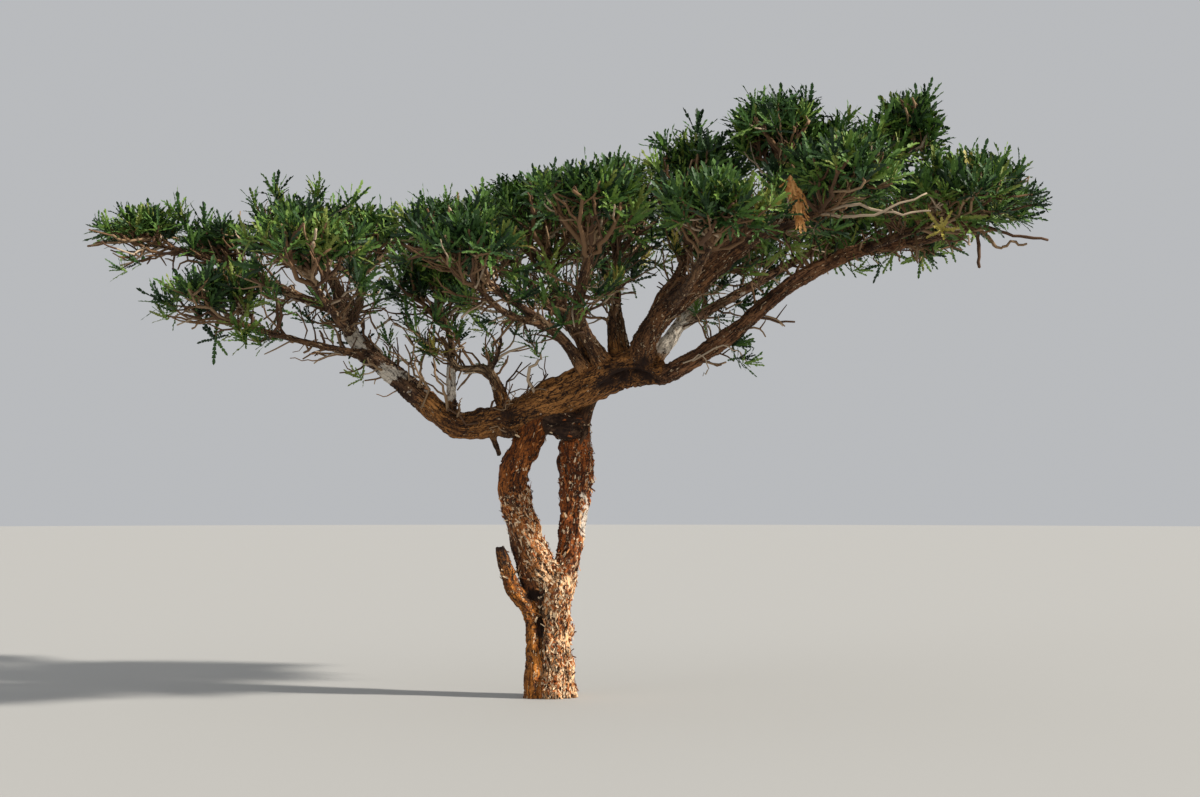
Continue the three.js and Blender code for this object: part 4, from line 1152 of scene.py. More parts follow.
class Leaves:
    """Leaves gathered from many calls, each with its tone's number, built as one mesh."""

    def __init__(self):
        self.points = []
        self.tones = []

    def add(self, root, heading, up, length, droop, tone, rng):
        """Each leaf is LEAFLETS pairs of four-cornered leaflets on a rib and one at its end. The rib
        runs root + L (u heading - droop u2 up); the leaflet at share u is w(u) long, where
        w = width sqrt(sin(pi (0.16 + 0.76 u))), swept forward and lifted out of the leaf's plane
        at random."""
        amount = len(root)
        side = unit(np.cross(heading, up))
        up = np.cross(side, heading)
        length = length[:, None, None]
        u = (np.arange(LEAFLETS) + FIRST_PAIR) / RIB_PITCHES
        width = LEAF_WIDTH * np.sqrt(np.sin(math.pi * (0.16 + 0.76 * u)))

        def rib(share):
            """Places on the rib, one row a leaf and one column a share."""
            share = np.broadcast_to(share, (amount, len(share)))[..., None]
            bend = up[:, None] * (-droop[:, None, None] * share ** 2)
            return root[:, None] + length * (share * heading[:, None] + bend)

        half = 0.5 / RIB_PITCHES
        back, ahead = rib(u - half * FOOT), rib(u + half * FOOT)
        corners = []
        for turn in (1, -1):
            lift = between(LEAFLET_LIFT, rng, (amount, len(u), 1))
            out = turn * side[:, None] + lift * up[:, None] + SWEEP * heading[:, None]
            span = width[None, :, None] * length * between(LEAFLET_LENGTH, rng, (amount, len(u), 1))
            tip = rib(u + half * TIP) + unit(out) * span
            shoulder = rib(u + half * SHOULDER) + unit(out) * span * SHOULDER_OUT
            quad = [back, shoulder, tip, ahead] if turn < 0 else [back, ahead, tip, shoulder]
            corners.append(np.stack(quad, axis=2))
        low, middle, high = np.split(rib(LAST_PLACES), 3, axis=1)
        spread = side[:, None] * length * LAST_SPREAD
        last = np.stack([low, middle - spread, high, middle + spread], axis=2)
        self.points.append(np.concatenate([*corners, last], axis=1))
        self.tones.append(np.repeat(tone, 2 * LEAFLETS + 1))

    def piece(self, name, nodes):
        """All the leaves as one piece."""
        points = np.concatenate(self.points).reshape(-1, 3)
        quads = np.arange(len(points)).reshape(-1, 4)
        mesh = mesh_of(name, points, [quads], smooth=False)
        shown(mesh, nodes, leaf_materials)
        mesh.polygons.foreach_set("material_index", np.concatenate(self.tones).astype(np.int32))


# Four greens from deep to sunlit, olive, yellowing and dead. The leaves of a fresh rosette take its
# tone or one beside it among the first five.
LEAF_TONES = [rgb(28, 50, 26), rgb(52, 82, 38), rgb(80, 112, 48), rgb(108, 136, 58),
              rgb(114, 126, 56), rgb(166, 154, 76), rgb(214, 160, 98)]
TONE_CHANCES = np.array([0.22, 0.30, 0.25, 0.13, 0.07, 0.02, 0.01])
GREENS, FRESH, DEAD = 4, 5, len(LEAF_TONES) - 1
# How broad the patches of like tone are in metres, their strength, how far a rosette strays from its
# patch, and how sharply both tell in its tone.
PATCH_WIDTH, PATCH_STRENGTH, TONE_VARIES, TONE_SLOPE = 0.55, 0.35, 0.8, 0.8
leaf_materials = tone_materials("leaf", LEAF_TONES, 0.55)


def rosettes(leaves, ends, headings, tone, reach, rng, scale=1, rise=LEAF_RISE):
    """A rosette at each twig's end: leaf k turns by the golden angle round the twig, and leans from
    it by 14 + 68 (k / count)^0.8 degrees. A leaf that would leave the mass's reach (heart and
    function, or none) is shortened or left out, but some of those that point up may stand out by
    SPIKE."""
    amount = len(ends)
    k = np.arange(ROSETTE_MOST)
    count = rng.integers(ROSETTE_LEAST, ROSETTE_MOST + 1, amount)
    side, top = side_axes(headings)
    turn = k[None] * GOLDEN_ANGLE + rng.uniform(0, 2 * math.pi, (amount, 1))
    lean = np.radians(LEAN_FIRST + LEAN_ADDED * (k[None] / count[:, None]) ** 0.8)
    lean = lean + rng.normal(0, LEAN_VARIES, (amount, ROSETTE_MOST))
    spoke = np.cos(turn)[..., None] * side[:, None] + np.sin(turn)[..., None] * top[:, None]
    heading = np.cos(lean)[..., None] * headings[:, None] + np.sin(lean)[..., None] * spoke
    heading = unit(heading + between(rise, rng, (amount, ROSETTE_MOST, 1)) * UPWARDS)
    depth = ROSETTE_DEPTH * k[None] / count[:, None]
    root = (ends[:, None] - depth[..., None] * headings[:, None]).reshape(-1, 3)
    heading = heading.reshape(-1, 3)
    size = scale * between(ROSETTE_SIZE, rng, (amount, 1))
    length = (between(LEAF_LENGTH, rng, (amount, ROSETTE_MOST)) * size).ravel()
    share = np.ones(len(root))
    if reach:
        heart, far_along = reach
        tip = root + heading * length[:, None] - heart
        near, far = np.linalg.norm(root - heart, axis=1), np.linalg.norm(tip, axis=1)
        spike = SPIKE * (rng.random(len(root)) < SPIKES) * (heading[:, 2] > SPIKE_RISE)
        room = (far_along(unit(tip)) + spike - near) / np.maximum(far - near, 1e-3)
        share = np.where(far > near, np.clip(room, 0, 1), 1)
    keep = (share > LEAST_LEAF) & (k[None] < count[:, None]).ravel()
    axis = np.repeat(headings, ROSETTE_MOST, axis=0)
    droop = between(LEAF_DROOP, rng, len(root))
    tone = np.repeat(tone, ROSETTE_MOST)
    varied = np.clip(tone + rng.integers(-1, 2, len(tone)), 0, FRESH - 1)
    tone = np.where(tone < FRESH, varied, tone)
    leaves.add(root[keep], heading[keep], axis[keep], (length * share)[keep], droop[keep],
               tone[keep], rng)


# The stem of a mass: how far back in the limb it starts, its taper, steps and sides.
STEM_INSET, STEM_TAPER, STEM_STEPS, STEM_SIDES = 0.02, 0.8, 3, 8
# Twigs of the first order, the primaries, follow the spiral: how many a mass of full size has, and
# that size in metres; their length as a share of the mass's reach; in metres how far they bow at
# random and sag; their girth as a share of the limb's, and its limits in metres; taper, steps, sides.
PRIMARIES, FULL_SIZE, LEAST_PRIMARIES = 13, 0.65, 4
PRIMARY_SHARE, PRIMARY_BOW, PRIMARY_SAG = (0.40, 0.72), 0.04, 0.05
PRIMARY_GIRTH, GIRTH_LIMITS, PRIMARY_TAPER = (0.5, 0.75), (0.023, 0.040), 0.66
PRIMARY_STEPS, PRIMARY_SIDES = 6, 6
# Each further order leaves the one before from the stage "first" of its run on, splayed from it, as
# long as a share of the mass's reach.
ORDERS = (
    dict(count=5, first=0.35, splay=0.95, share=(0.3, 0.48), girth=0.021, taper=0.72, steps=4, sides=5),
    dict(count=2, first=0.50, splay=0.90, share=(0.16, 0.3), girth=0.015, taper=0.8, steps=3, sides=4),
)
# How much before its stage an offshoot may leave, how its splay varies, what share of that the last
# one has, and how far offshoots turn up.
EARLY, SPLAY_VARIES, LAST_SPLAY, OFFSHOOT_UP = 0.08, (0.6, 1.2), 0.3, 0.15
# An offshoot's least length in metres, its bow and sag as shares of its length, and how its girth
# varies. Its reach is measured toward a place this far in metres ahead of its foot.
LEAST_TWIG, OFFSHOOT_BOW, OFFSHOOT_SAG, GIRTH_VARIES = 0.05, 0.05, 0.05, (0.8, 1.2)
REACH_AHEAD = 0.3
# The share of twigs that bear leaves at the heart's height, how fast it grows with height, how much
# a metre it grows toward the right, and how much it falls off in front of LEAFY_FROM.
LEAFY, LEAFY_RISE, LEAFY_RIGHT, LEAFY_FRONT, LEAFY_FROM = 0.42, 1.1, 0.17, 0.1, -0.4
# How far a rosette turns away from the heart, and up.
FACE_OUT, FACE_UP = 0.3, 0.4
# How far apart primaries leave the stem and the limb, in metres, and how far apart in front.
STEM_STEP, FRONT_STEP = 0.035, 0.018
# How far the primaries lean along their limb; where those of the spire lean, what share of its reach
# they keep, and how many more of its twigs bear leaves.
LEAN, SPIRE_LEAN, SPIRE_REACH, SPIRE_LEAFY = 0.35, np.array([-0.3, 0, 0.5]), 0.9, 0.4


def grown(space, twigs, leaves, rng):
    """The mass's stem, its twigs and its rosettes. Primaries follow the spiral, and the lower a
    primary points the further back on the limb it leaves. Those in front lean inward."""
    limb = space.limb
    count = max(LEAST_PRIMARIES, round(PRIMARIES * (space.size / FULL_SIZE) ** 2))
    spire = limb.name == "spire_bough"
    lean = SPIRE_LEAN if spire else LEAN * space.heading
    dip = FRONT_DIP if space.in_front else TWIG_DIP
    headings = spiral(count, dip, rng.uniform(0, 2 * math.pi)) + lean
    if space.in_front:
        headings[:, 1] = np.where(headings[:, 1] > 0, INWARD * headings[:, 1], headings[:, 1])
    headings = unit(headings)
    girth = limb.girth[-1]
    foot = space.tip - STEM_INSET * space.heading
    twigs.add(foot[None], space.heart[None], np.zeros((1, 3)),
              np.array([[girth, girth * STEM_TAPER]]), STEM_STEPS, STEM_SIDES, rng)
    step = FRONT_STEP if space.in_front else STEM_STEP
    start = np.array([space.stem_at(back) for back in np.arange(count) * step])
    reach = space.reach(headings)[:, None]
    end = space.heart + headings * reach * between(PRIMARY_SHARE, rng, (count, 1))
    bow = rng.normal(0, PRIMARY_BOW, (count, 3)) - PRIMARY_SAG * UPWARDS
    base = np.clip(girth * between(PRIMARY_GIRTH, rng, count), *GIRTH_LIMITS)
    girths = np.column_stack([base, base * PRIMARY_TAPER])
    line, course = twigs.add(start, end, bow, girths, PRIMARY_STEPS, PRIMARY_SIDES, rng)
    for order in ORDERS:
        line, course = offshoots(space, twigs, line, course, order, rng)
    height = (line[:, -1, 2] - space.heart[2]) / space.full_reach(UPWARDS)
    share = LEAFY + LEAFY_RISE * height + LEAFY_RIGHT * np.maximum(line[:, -1, 0], 0)
    share = share + LEAFY_FRONT * np.minimum(line[:, -1, 1] - LEAFY_FROM, 0) + spire * SPIRE_LEAFY
    leafy = rng.random(len(line)) < share
    line, course = line[leafy], course[leafy]
    ends = line[:, -1]
    facing = unit(course[:, -1] + FACE_OUT * unit(ends - space.heart) + FACE_UP * UPWARDS)
    patches = noise(ends / PATCH_WIDTH, 30) * PATCH_STRENGTH + rng.normal(0, TONE_VARIES, len(ends))
    tone = np.searchsorted(np.cumsum(TONE_CHANCES)[:-1], 0.5 * (1 + np.tanh(patches * TONE_SLOPE)))
    rosettes(leaves, ends, facing, tone, (space.heart, space.full_reach), rng)


def offshoots(space, twigs, line, course, order, rng):
    """Twigs that leave every line at even stages, turned by the golden angle from one to the next.
    The last goes on from the line's end. They sag in the middle."""
    amount, count = len(line), order["count"]
    stage = np.linspace(order["first"], 1, count)[None] + rng.uniform(-EARLY, 0, (amount, count))
    place = stage * (line.shape[1] - 1)
    i = np.minimum(place.astype(int), line.shape[1] - 2)
    w = (place - i)[..., None]
    row = np.arange(amount)[:, None]
    start = (line[row, i] * (1 - w) + line[row, i + 1] * w).reshape(-1, 3)
    ahead = course[row, i]
    side, top = side_axes(ahead.reshape(-1, 3))
    turn = np.arange(count)[None] * GOLDEN_ANGLE + rng.uniform(0, 2 * math.pi, (amount, 1))
    turn = turn.reshape(-1, 1)
    spoke = (np.cos(turn) * side + np.sin(turn) * top).reshape(amount, count, 3)
    lean = order["splay"] * between(SPLAY_VARIES, rng, (amount, count, 1))
    lean[:, -1] *= LAST_SPLAY
    own = unit(ahead + lean * spoke + OFFSHOOT_UP * UPWARDS).reshape(-1, 3)
    reach = space.reach(unit(start - space.heart + REACH_AHEAD * own))
    end = start + own * (reach * between(order["share"], rng, len(own)))[:, None]
    end = space.bounded(end, rng)
    if space.in_front:
        high = end[:, 2] > space.heart[2]
        start, own, end = start[high], own[high], end[high]
    length = np.linalg.norm(end - start, axis=1)[:, None]
    end = np.where(length < LEAST_TWIG, start + LEAST_TWIG * own, end)
    bow = (rng.normal(0, OFFSHOOT_BOW, (len(own), 3)) - OFFSHOOT_SAG * UPWARDS) * length
    base = order["girth"] * between(GIRTH_VARIES, rng, len(own))
    girths = np.column_stack([base, base * order["taper"]])
    return twigs.add(start, end, bow, girths, order["steps"], order["sides"], rng)


# Shoots along the limbs, below the masses, for each kind of bark: how many a metre, what share of
# them bears leaves at the limb's end, which falls off toward its foot, and their length in metres.
SPROUTS = {"bough": (12, 0.3, (0.05, 0.30)), "thin": (14, 0.5, (0.10, 0.36))}
# The share of a limb's run where they begin, where they begin on the limbs of the hub, and where they
# end.
SPROUT_START, HUB_SPROUT_START, SPROUT_END = 0.16, 0.3, 0.96
# How far they turn onward and up, their girth, and how deep in the limb they start, as a share of its
# radius from the middle out.
SPROUT_ONWARD, SPROUT_UP, SPROUT_GIRTH, SPROUT_START_DEPTH = (0.1, 0.9), 0.3, (0.013, 0.025), 0.6
# What share of its length a sprout at the limb's foot has, and what one gains toward the limb's end.
SPROUT_LEAST, SPROUT_GROWTH = 0.6, 0.6
# How fast the share that bears leaves grows along the limb, less what it lacks at the foot.
LEAFY_SLOPE, LEAFY_LACK = 1.8, 0.3
# The side shoot: its length as a share of the sprout's, how its heading varies, how far it turns up,
# and what share of the sprout's bow and girth it has.
FORK_SHARE, FORK_VARIES, FORK_UP, FORK_BOW, FORK_GIRTH = (0.3, 0.8), 0.7, 0.2, 0.4, 0.7
# The share of ends that bear leaves where a sprout does, and the size of their rosettes.
LEAFY_ENDS, SPROUT_ROSETTE = 0.75, 0.9
# These limbs bear no sprouts.
NO_SPROUTS = ("stem_brace", "near_bough")
# From foot to tip a shoot's girth falls to this share of itself; how far a shoot bows, as a share of
# its length; and how far its rosettes turn up.
SHOOT_TAPER, SHOOT_BOW, SHOOT_UP = 0.6, 0.1, 0.5


def sprouts(twigs, leaves, rng):
    """Short crooked shoots that stand off the limbs at random places, turned outward, onward and a
    little up, each with one side shoot. Some end in rosettes, the others are bare."""
    for limb in limbs.values():
        if limb.bark not in SPROUTS or limb.name in NO_SPROUTS:
            continue
        density, leafy, lengths = SPROUTS[limb.bark]
        count = round(limb.length * density)
        from_hub = limb.parent is limbs["main_bough"] and limb.points[0, 0] > 0
        first = HUB_SPROUT_START if from_hub else SPROUT_START
        t = np.sort(rng.uniform(first, SPROUT_END, count))
        centre, heading, across, up = limb.frames(t)
        angle = rng.uniform(0, 2 * math.pi, (count, 1))
        spoke = np.cos(angle) * across + np.sin(angle) * up
        own = unit(spoke + between(SPROUT_ONWARD, rng, (count, 1)) * heading + SPROUT_UP * UPWARDS)
        radius = along(limb.girth, t)[:, None] / 2
        start = centre + SPROUT_START_DEPTH * radius * spoke
        length = between(lengths, rng, (count, 1)) * (SPROUT_LEAST + SPROUT_GROWTH * t[:, None])
        bow = rng.normal(0, SHOOT_BOW, (count, 3)) * length
        base = between(SPROUT_GIRTH, rng, count)
        girths = np.column_stack([base, base * SHOOT_TAPER])
        end = start + own * (length + radius * (1 - SPROUT_START_DEPTH))
        line, course = twigs.add(start, end, bow, girths, steps=4, sides=5, rng=rng)
        side = unit(course[:, 2] + rng.normal(0, FORK_VARIES, (count, 3)) + FORK_UP * UPWARDS)
        reach = side * length * between(FORK_SHARE, rng, (count, 1))
        fork = twigs.add(line[:, 2], line[:, 2] + reach, bow * FORK_BOW, girths * FORK_GIRTH,
                         steps=2, sides=4, rng=rng)
        grow = rng.random(count) < leafy * np.clip(LEAFY_SLOPE * t - LEAFY_LACK, 0, 1)
        for ends, ways in ((line, course), fork):
            chosen = grow & (rng.random(count) < LEAFY_ENDS)
            tone = np.minimum(rng.choice(DEAD + 1, chosen.sum(), p=TONE_CHANCES), DEAD - 1)
            facing = unit(ways[chosen, -1] + SHOOT_UP * UPWARDS)
            rosettes(leaves, ends[chosen, -1], facing, tone, None, rng, SPROUT_ROSETTE)


# Bare crooked shoots that climb along a limb: how many, and between which shares of its run.
THICKETS = {
    "left_bough": (16, 0.05, 0.75), "main_bough": (7, 0.0, 0.42), "left_low_bough": (8, 0.15, 0.8),
    "left_mid_bough": (5, 0.2, 0.9), "left_high_bough": (4, 0.2, 0.9), "front_left_bough": (7, 0.2, 0.9),
    "inner_left_bough": (6, 0.15, 0.9), "crooked_limb": (5, 0.3, 1.0), "middle_bough": (5, 0.25, 0.8),
    "right_low_bough": (7, 0.3, 0.95), "thick_bough": (3, 0.75, 0.95), "pale_side_bough": (5, 0.3, 0.9),
}
THICKET_LENGTH, THICKET_GIRTH, THICKET_KINK, THICKET_LEAFY = (0.22, 0.62), (0.012, 0.028), 0.055, 0.4
# How far they turn onward and up, and how their headings vary.
THICKET_ONWARD, THICKET_UP, THICKET_VARIES = (0.3, 1.2), (0.5, 1.3), 0.35
# At which of their rings they fork, the length of a fork as a share of theirs, and the size of its
# rosette.
THICKET_FORKS, THICKET_FORK_SHARE, THICKET_ROSETTE = (3, 5, 6), (0.25, 0.6), 0.85
# How a fork's heading varies, how far it turns up, and its share of their bow and girth.
THICKET_FORK_VARIES, THICKET_FORK_UP, THICKET_FORK_BOW, THICKET_FORK_GIRTH = 0.6, 0.3, 0.3, 0.6


def thickets(twigs, leaves, rng):
    """The shoots leave the limb, turned onward and up, and fork three times. Some of the forks end
    in a rosette."""
    for limb_name, (count, low, high) in THICKETS.items():
        limb = limbs[limb_name]
        t = np.sort(rng.uniform(low, high, count))
        centre, heading = curve(limb.points, t)
        onward = heading * between(THICKET_ONWARD, rng, (count, 1))
        onward = onward + between(THICKET_UP, rng, (count, 1)) * UPWARDS
        own = unit(onward + rng.normal(0, THICKET_VARIES, (count, 3)))
        length = between(THICKET_LENGTH, rng, (count, 1))
        base = between(THICKET_GIRTH, rng, count)
        girths = np.column_stack([base, base * SHOOT_TAPER])
        bow = rng.normal(0, SHOOT_BOW, (count, 3)) * length
        line, course = twigs.add(centre, centre + own * length, bow, girths,
                                 steps=7, sides=5, rng=rng, bent=THICKET_KINK)
        for ring in THICKET_FORKS:
            varied = rng.normal(0, THICKET_FORK_VARIES, (count, 3))
            side = unit(course[:, ring] + varied + THICKET_FORK_UP * UPWARDS)
            reach = length * between(THICKET_FORK_SHARE, rng, (count, 1))
            fork, ways = twigs.add(line[:, ring], line[:, ring] + side * reach,
                                   bow * THICKET_FORK_BOW, girths * THICKET_FORK_GIRTH,
                                   steps=4, sides=4, rng=rng, bent=THICKET_KINK)
            grow = rng.random(count) < THICKET_LEAFY * t
            tone = rng.integers(0, GREENS, grow.sum())
            facing = unit(ways[grow, -1] + SHOOT_UP * UPWARDS)
            rosettes(leaves, fork[grow, -1], facing, tone, None, rng, THICKET_ROSETTE)


# Single shoots that stand out: their limb and the share of its run, places in mm, girths at foot and
# tip in mm, how many rosettes they bear, and what those are: small, of full size or dead. A shoot
# without rosettes may be of dark wood.
SHOOTS = (
    ("left_tip_bough", 0.72, ((-3040, -380, 3330), (-3240, -420, 3230)), (20, 12), 2, "small"),
    ("left_tip_bough", 0.9, ((-3150, -300, 3480), (-3330, -330, 3470)), (16, 10), 1, "small"),
    ("left_low_bough", 0.55, ((-2080, -560, 2700), (-2160, -620, 2660)), (16, 10), 2, "small"),
    ("left_low_bough", 0.62, ((-2160, -520, 2680), (-2290, -590, 2690)), (14, 9), 1, "small"),
    ("left_low_bough", 0.2, ((-1590, -330, 2590), (-1800, -400, 2550), (-1960, -420, 2560)), (14, 7),
     0, ""),
    ("left_low_bough", 0.4, ((-1780, -400, 2700), (-1930, -480, 2600)), (12, 6), 0, ""),
    ("left_low_bough", 0.9, ((-2640, -460, 2830), (-2900, -480, 2880)), (22, 12), 1, "small"),
    ("left_bough", 0.42, ((-1400, -240, 2470), (-1470, -260, 2430)), (14, 9), 1, "small"),
    ("left_bough", 0.3, ((-1240, -230, 2290), (-1330, -280, 2300)), (12, 6), 0, ""),
    ("left_bough", 0.18, ((-1010, -240, 2420), (-1060, -270, 2610), (-1000, -280, 2740)), (18, 8),
     0, ""),
    ("left_tip_bough", 0.98, ((-3200, -220, 3500), (-3450, -230, 3570)), (26, 14), 2, "small"),
    ("left_tip_bough", 0.94, ((-3160, -160, 3560), (-3300, -150, 3680)), (22, 14), 2, "small"),
    ("right_tip_bough", 0.98, ((3420, 0, 3790), (3640, -20, 3860)), (26, 14), 2, "small"),
    ("right_tip_bough", 0.95, ((3380, -60, 3700), (3620, -80, 3700)), (24, 14), 2, "small"),
    ("upright_limb", 0.95, ((-370, -120, 2850), (-300, -130, 2900)), (22, 14), 2, "small"),
    ("upright_limb", 0.7, ((-480, -120, 2760), (-560, -130, 2830)), (20, 14), 2, "small"),
    ("main_bough", 0.48, ((-190, -190, 2470), (-90, -230, 2570), (-170, -240, 2700)), (30, 16), 2,
     "small"),
    ("steep_bough", 1.0, ((1080, 160, 4100), (1120, 120, 4380)), (30, 16), 3, "full"),
    ("crest_bough", 1.0, ((1640, -60, 4380), (1560, -80, 4560)), (28, 14), 3, "full"),
    ("crest_bough", 1.0, ((1860, -60, 4360), (1950, -80, 4580)), (28, 14), 3, "full"),
    ("crest_bough", 0.95, ((2080, -40, 4240), (2290, -40, 4440)), (28, 14), 3, "full"),
    ("crest_bough", 0.9, ((2060, -40, 4180), (2190, -140, 4330)), (28, 14), 3, "full"),
    ("spire_bough", 0.45, ((2330, -40, 4120), (2420, -100, 4340)), (26, 14), 3, "full"),
    ("spire_bough", 0.7, ((2480, -40, 4240), (2560, -60, 4420)), (26, 14), 3, "full"),
    ("spire_bough", 0.9, ((2700, -20, 4120), (2900, -80, 4140)), (26, 14), 3, "full"),
    ("spire_bough", 1.0, ((2820, 60, 4440), (2900, 40, 4600)), (28, 14), 3, "full"),
    ("spire_bough", 0.3, ((2220, 60, 4060), (2340, 120, 4300)), (26, 14), 3, "full"),
    ("spire_bough", 0.55, ((2420, -160, 4080), (2480, -260, 4280)), (26, 14), 3, "full"),
    ("spire_bough", 0.65, ((2500, 80, 4180), (2540, 160, 4400)), (26, 14), 3, "full"),
    ("spire_bough", 0.75, ((2560, -160, 4060), (2640, -240, 4160)), (26, 14), 3, "full"),
    ("crest_bough", 0.98, ((2020, 100, 4280), (2240, 140, 4420)), (28, 14), 3, "full"),
    ("crest_bough", 0.9, ((2100, -240, 4120), (2300, -320, 4240)), (26, 14), 3, "full"),
    ("right_tip_bough", 0.98, ((3480, 0, 3880), (3620, -20, 4060)), (26, 14), 3, "full"),
    ("right_tip_bough", 0.9, ((3330, 0, 3960), (3480, -20, 4090)), (26, 14), 3, "full"),
    ("right_tip_bough", 0.5, ((3100, 0, 3900), (3250, -20, 4060)), (26, 14), 3, "full"),
    ("left_high_bough", 0.9, ((-2080, 60, 3700), (-2180, 40, 3900)), (26, 14), 3, "full"),
    ("left_high_bough", 0.7, ((-2150, 60, 3560), (-2330, 40, 3800)), (26, 14), 3, "full"),
    ("left_high_bough", 1.0, ((-1800, 60, 3680), (-1580, 40, 3800)), (26, 14), 2, "full"),
    ("left_tip_bough", 0.5, ((-2780, -260, 3560), (-2850, -260, 3680)), (24, 14), 3, "full"),
    ("left_tip_bough", 0.3, ((-2600, -300, 3480), (-2650, -280, 3600)), (24, 14), 2, "full"),
    ("middle_bough", 1.0, ((-300, 0, 3720), (-420, -20, 3860)), (26, 14), 3, "full"),
    ("back_bough", 1.0, ((420, 500, 3900), (330, 480, 4030)), (26, 14), 3, "full"),
    ("main_bough", 0.08, ((-830, -230, 2330), (-900, -260, 2500), (-860, -270, 2640)), (28, 12), 0, ""),
    ("right_low_bough", 0.2, ((1230, -220, 2650), (1400, -240, 2640), (1480, -250, 2540)), (16, 8),
     2, "small"),
    ("inner_left_bough", 0.5, ((-980, -120, 2700), (-1130, -140, 2860)), (24, 14), 2, "small"),
    ("right_low_bough", 0.12, ((1110, -220, 2600), (1180, -240, 2500), (1140, -245, 2440)), (14, 7),
     0, ""),
    ("right_low_bough", 0.8, ((2250, -200, 3330), (2330, -230, 3250)), (16, 10), 1, "small"),
    ("right_low_bough", 0.86, ((2450, -180, 3360), (2490, -200, 3290)), (16, 10), 1, "small"),
    ("right_low_bough", 0.93, ((2640, -130, 3400), (2660, -140, 3330)), (22, 14), 0, ""),
    ("right_low_bough", 0.98, ((2830, -110, 3420), (2870, -120, 3350)), (22, 14), 0, ""),
    ("right_tip_bough", 0.6, ((3250, -90, 3600), (3270, -90, 3460), (3285, -90, 3290)), (36, 24),
     0, "dark"),
    ("right_tip_bough", 0.9, ((3420, -40, 3600), (3600, -60, 3540), (3820, -70, 3505)), (36, 20),
     0, ""),
    ("right_tip_bough", 0.7, ((3330, -20, 3560), (3440, -30, 3450), (3540, -40, 3490), (3660, -50, 3480)),
     (32, 18), 0, ""),
    ("near_right_bough", 1.0, ((2120, -1280, 3560), (2400, -1320, 3500), (2670, -1300, 3520)), (28, 12),
     0, ""),
    ("near_right_bough", 0.9, ((2200, -1300, 3480), (2450, -1340, 3560), (2640, -1320, 3640)), (24, 12),
     0, ""),
    ("near_right_bough", 0.9, ((1760, -1280, 3640), (1720, -1400, 3600)), (18, 12), 3, "dead"),
    ("near_right_bough", 0.8, ((1700, -1240, 3700), (1690, -1380, 3720)), (18, 12), 2, "dead"),
    ("near_right_bough", 0.8, ((1760, -1300, 3560), (1740, -1400, 3490)), (18, 12), 2, "dead"),
    ("basal_stem", 0.8, ((-260, -190, 960), (-240, -220, 1030)), (12, 6), 0, ""),
    ("right_stem", 0.93, ((220, -30, 1960), (250, -50, 2030)), (38, 18), 0, ""),
)


# How far a dead rosette turns down, how much of its heading any rosette keeps, and the sizes of
# rosettes.
DEAD_UP, HEADING_SHARE, FULL_ROSETTE, SMALL_ROSETTE = -0.9, 0.6, 1.05, 0.75
# In metres how crooked the shoots are, their steps from place to place, and their sides.
CROOKED, SHOOT_STEPS, SHOOT_SIDES = 0.008, 4, 6


def lone_shoots(twigs, leaves, rng):
    """The shoots of the table, each a bent tube through its places, with its rosettes on every
    second point from the tip back."""
    for limb_name, share, places, girths, amount, state in SHOOTS:
        start = limbs[limb_name].at(share)[0]
        controls = np.vstack([start, np.array(places) * MM])
        line = curve(controls, np.linspace(0, 1, SHOOT_STEPS * len(places) + 1))[0]
        line[1:-1] += rng.normal(0, CROOKED, (len(line) - 2, 3))
        chances = DARK_CHANCES if state == "dark" else TWIG_CHANCES
        line, course = twigs.tubes(line[None], np.array([girths]) * MM, SHOOT_SIDES, rng, chances)
        if not amount:
            continue
        at = -1 - 2 * np.arange(amount)
        dead = state == "dead"
        facing = unit(course[0, at] * HEADING_SHARE + (DEAD_UP if dead else SHOOT_UP) * UPWARDS)
        tone = np.full(amount, DEAD) if dead else rng.integers(0, GREENS, amount)
        scale = FULL_ROSETTE if state == "full" else SMALL_ROSETTE
        rise = DEAD_RISE if dead else LEAF_RISE
        rosettes(leaves, line[0, at], facing, tone, None, rng, scale, rise)


stray_twigs, stray_leaves = Twigs(), Leaves()
sprouts(stray_twigs, stray_leaves, np.random.default_rng(7))
thickets(stray_twigs, stray_leaves, np.random.default_rng(9))
lone_shoots(stray_twigs, stray_leaves, np.random.default_rng(8))
carriers = nodes_of([limb for limb in limbs.values() if limb.bark != "trunk"])
stray_twigs.piece("bare_twigs", carriers)
stray_leaves.piece("inner_leaves", carriers)

# So many masses share a piece of twigs and one of leaves, and their seeds count on from the first.
REGION_SIZE, FIRST_SEED = 4, 1000
for region, first in enumerate(range(0, len(spaces), REGION_SIZE), 1):
    members = spaces[first:first + REGION_SIZE]
    region_twigs, region_leaves = Twigs(), Leaves()
    for seed, space in enumerate(members, FIRST_SEED + first):
        grown(space, region_twigs, region_leaves, np.random.default_rng(seed))
    masses = [space.limb.name.replace("_bough", "_foliage") for space in members]
    region_twigs.piece(f"twigs_{region}", masses)
    region_leaves.piece(f"leaves_{region}", masses)


# Stage: floor, light and camera

FLOOR_RADIUS, FLOOR_CORNERS = 90, 96
SKY_COLOUR, SKY_STRENGTH = (0.88, 0.90, 0.93, 1), 0.55
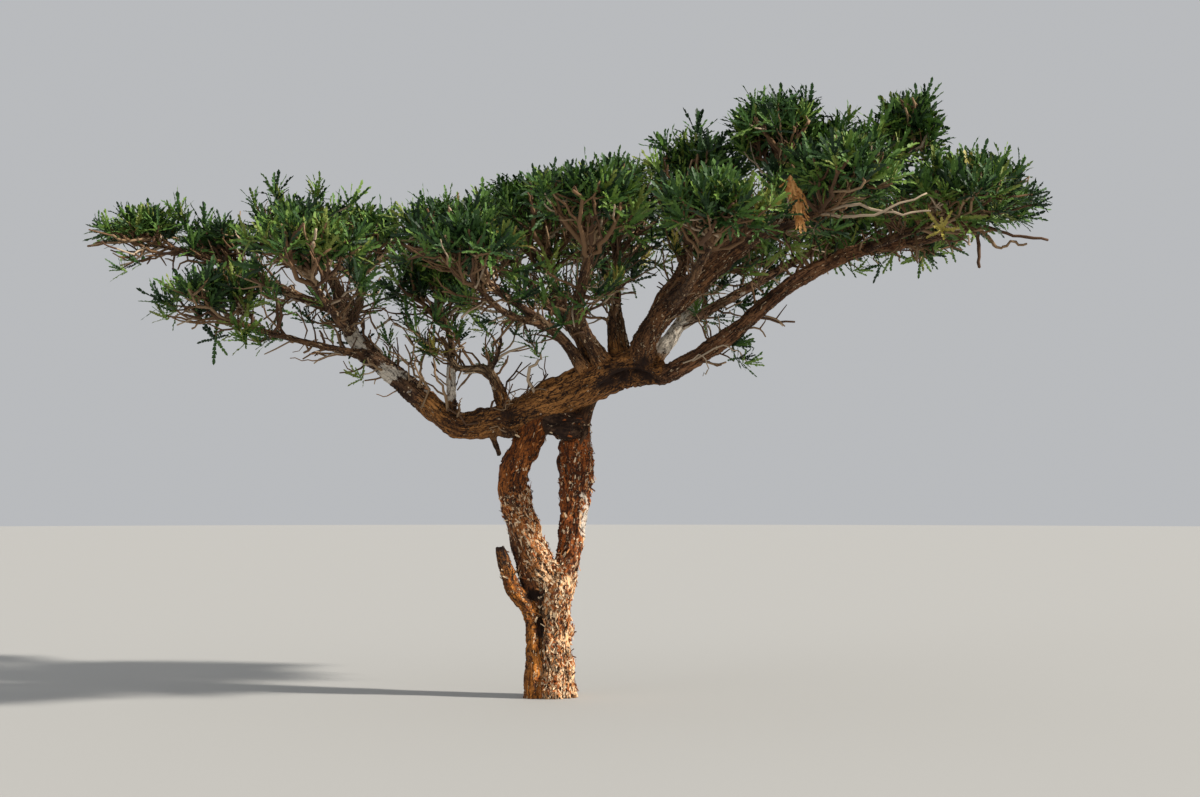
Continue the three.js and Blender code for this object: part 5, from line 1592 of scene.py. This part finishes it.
# The lamps: heading, strength, softness in degrees and colour.
LAMPS = {
    "key": ((-0.81, 0.20, -0.52), 5.4, 3, (1.0, 0.95, 0.87)),
    "fill": ((0.8, 0.6, -0.25), 0.5, 40, (0.9, 0.95, 1.0)),
}
# The camera stands low in front of the trunk and is tilted up by so many degrees from level.
CAMERA_PLACE, CAMERA_TILT, LENS, SENSOR_WIDTH, FARTHEST = (0.359, -12.85, 1.5), 3.49, 50, 36, 200


def floor_mesh():
    """A round floor: one face whose corners are evenly spaced on a circle."""
    turn = np.arange(FLOOR_CORNERS) * 2 * math.pi / FLOOR_CORNERS
    points = FLOOR_RADIUS * np.column_stack([np.cos(turn), np.sin(turn), 0 * turn])
    return mesh_of("floor", points, [np.arange(FLOOR_CORNERS)[None]], smooth=False)


floor = bpy.data.objects.new("floor", floor_mesh())
bpy.context.scene.collection.objects.link(floor)
floor.data.materials.append(plain_material("floor", rgb(172, 171, 168), 0.9))

world = bpy.data.worlds.new("studio")
bpy.context.scene.world = world
world.use_nodes = True
sky = world.node_tree.nodes["Background"]
sky.inputs["Color"].default_value = SKY_COLOUR
sky.inputs["Strength"].default_value = SKY_STRENGTH


def lamp(name, towards, strength, softness, colour):
    """A far soft lamp that shines along a heading."""
    data = bpy.data.lights.new(name, "SUN")
    data.energy = strength
    data.angle = math.radians(softness)
    data.color = colour
    made = bpy.data.objects.new(name, data)
    bpy.context.scene.collection.objects.link(made)
    made.rotation_mode = "QUATERNION"
    made.rotation_quaternion = Vector(towards).to_track_quat("-Z", "Y")


for lamp_name, light in LAMPS.items():
    lamp(lamp_name, *light)

camera = bpy.data.objects.new("camera", bpy.data.cameras.new("camera"))
bpy.context.scene.collection.objects.link(camera)
camera.data.lens = LENS
camera.data.sensor_width = SENSOR_WIDTH
camera.location = CAMERA_PLACE
camera.rotation_euler = (math.radians(90 + CAMERA_TILT), 0, 0)
camera.data.clip_end = FARTHEST
bpy.context.scene.camera = camera
bpy.context.scene.view_settings.view_transform = "Standard"
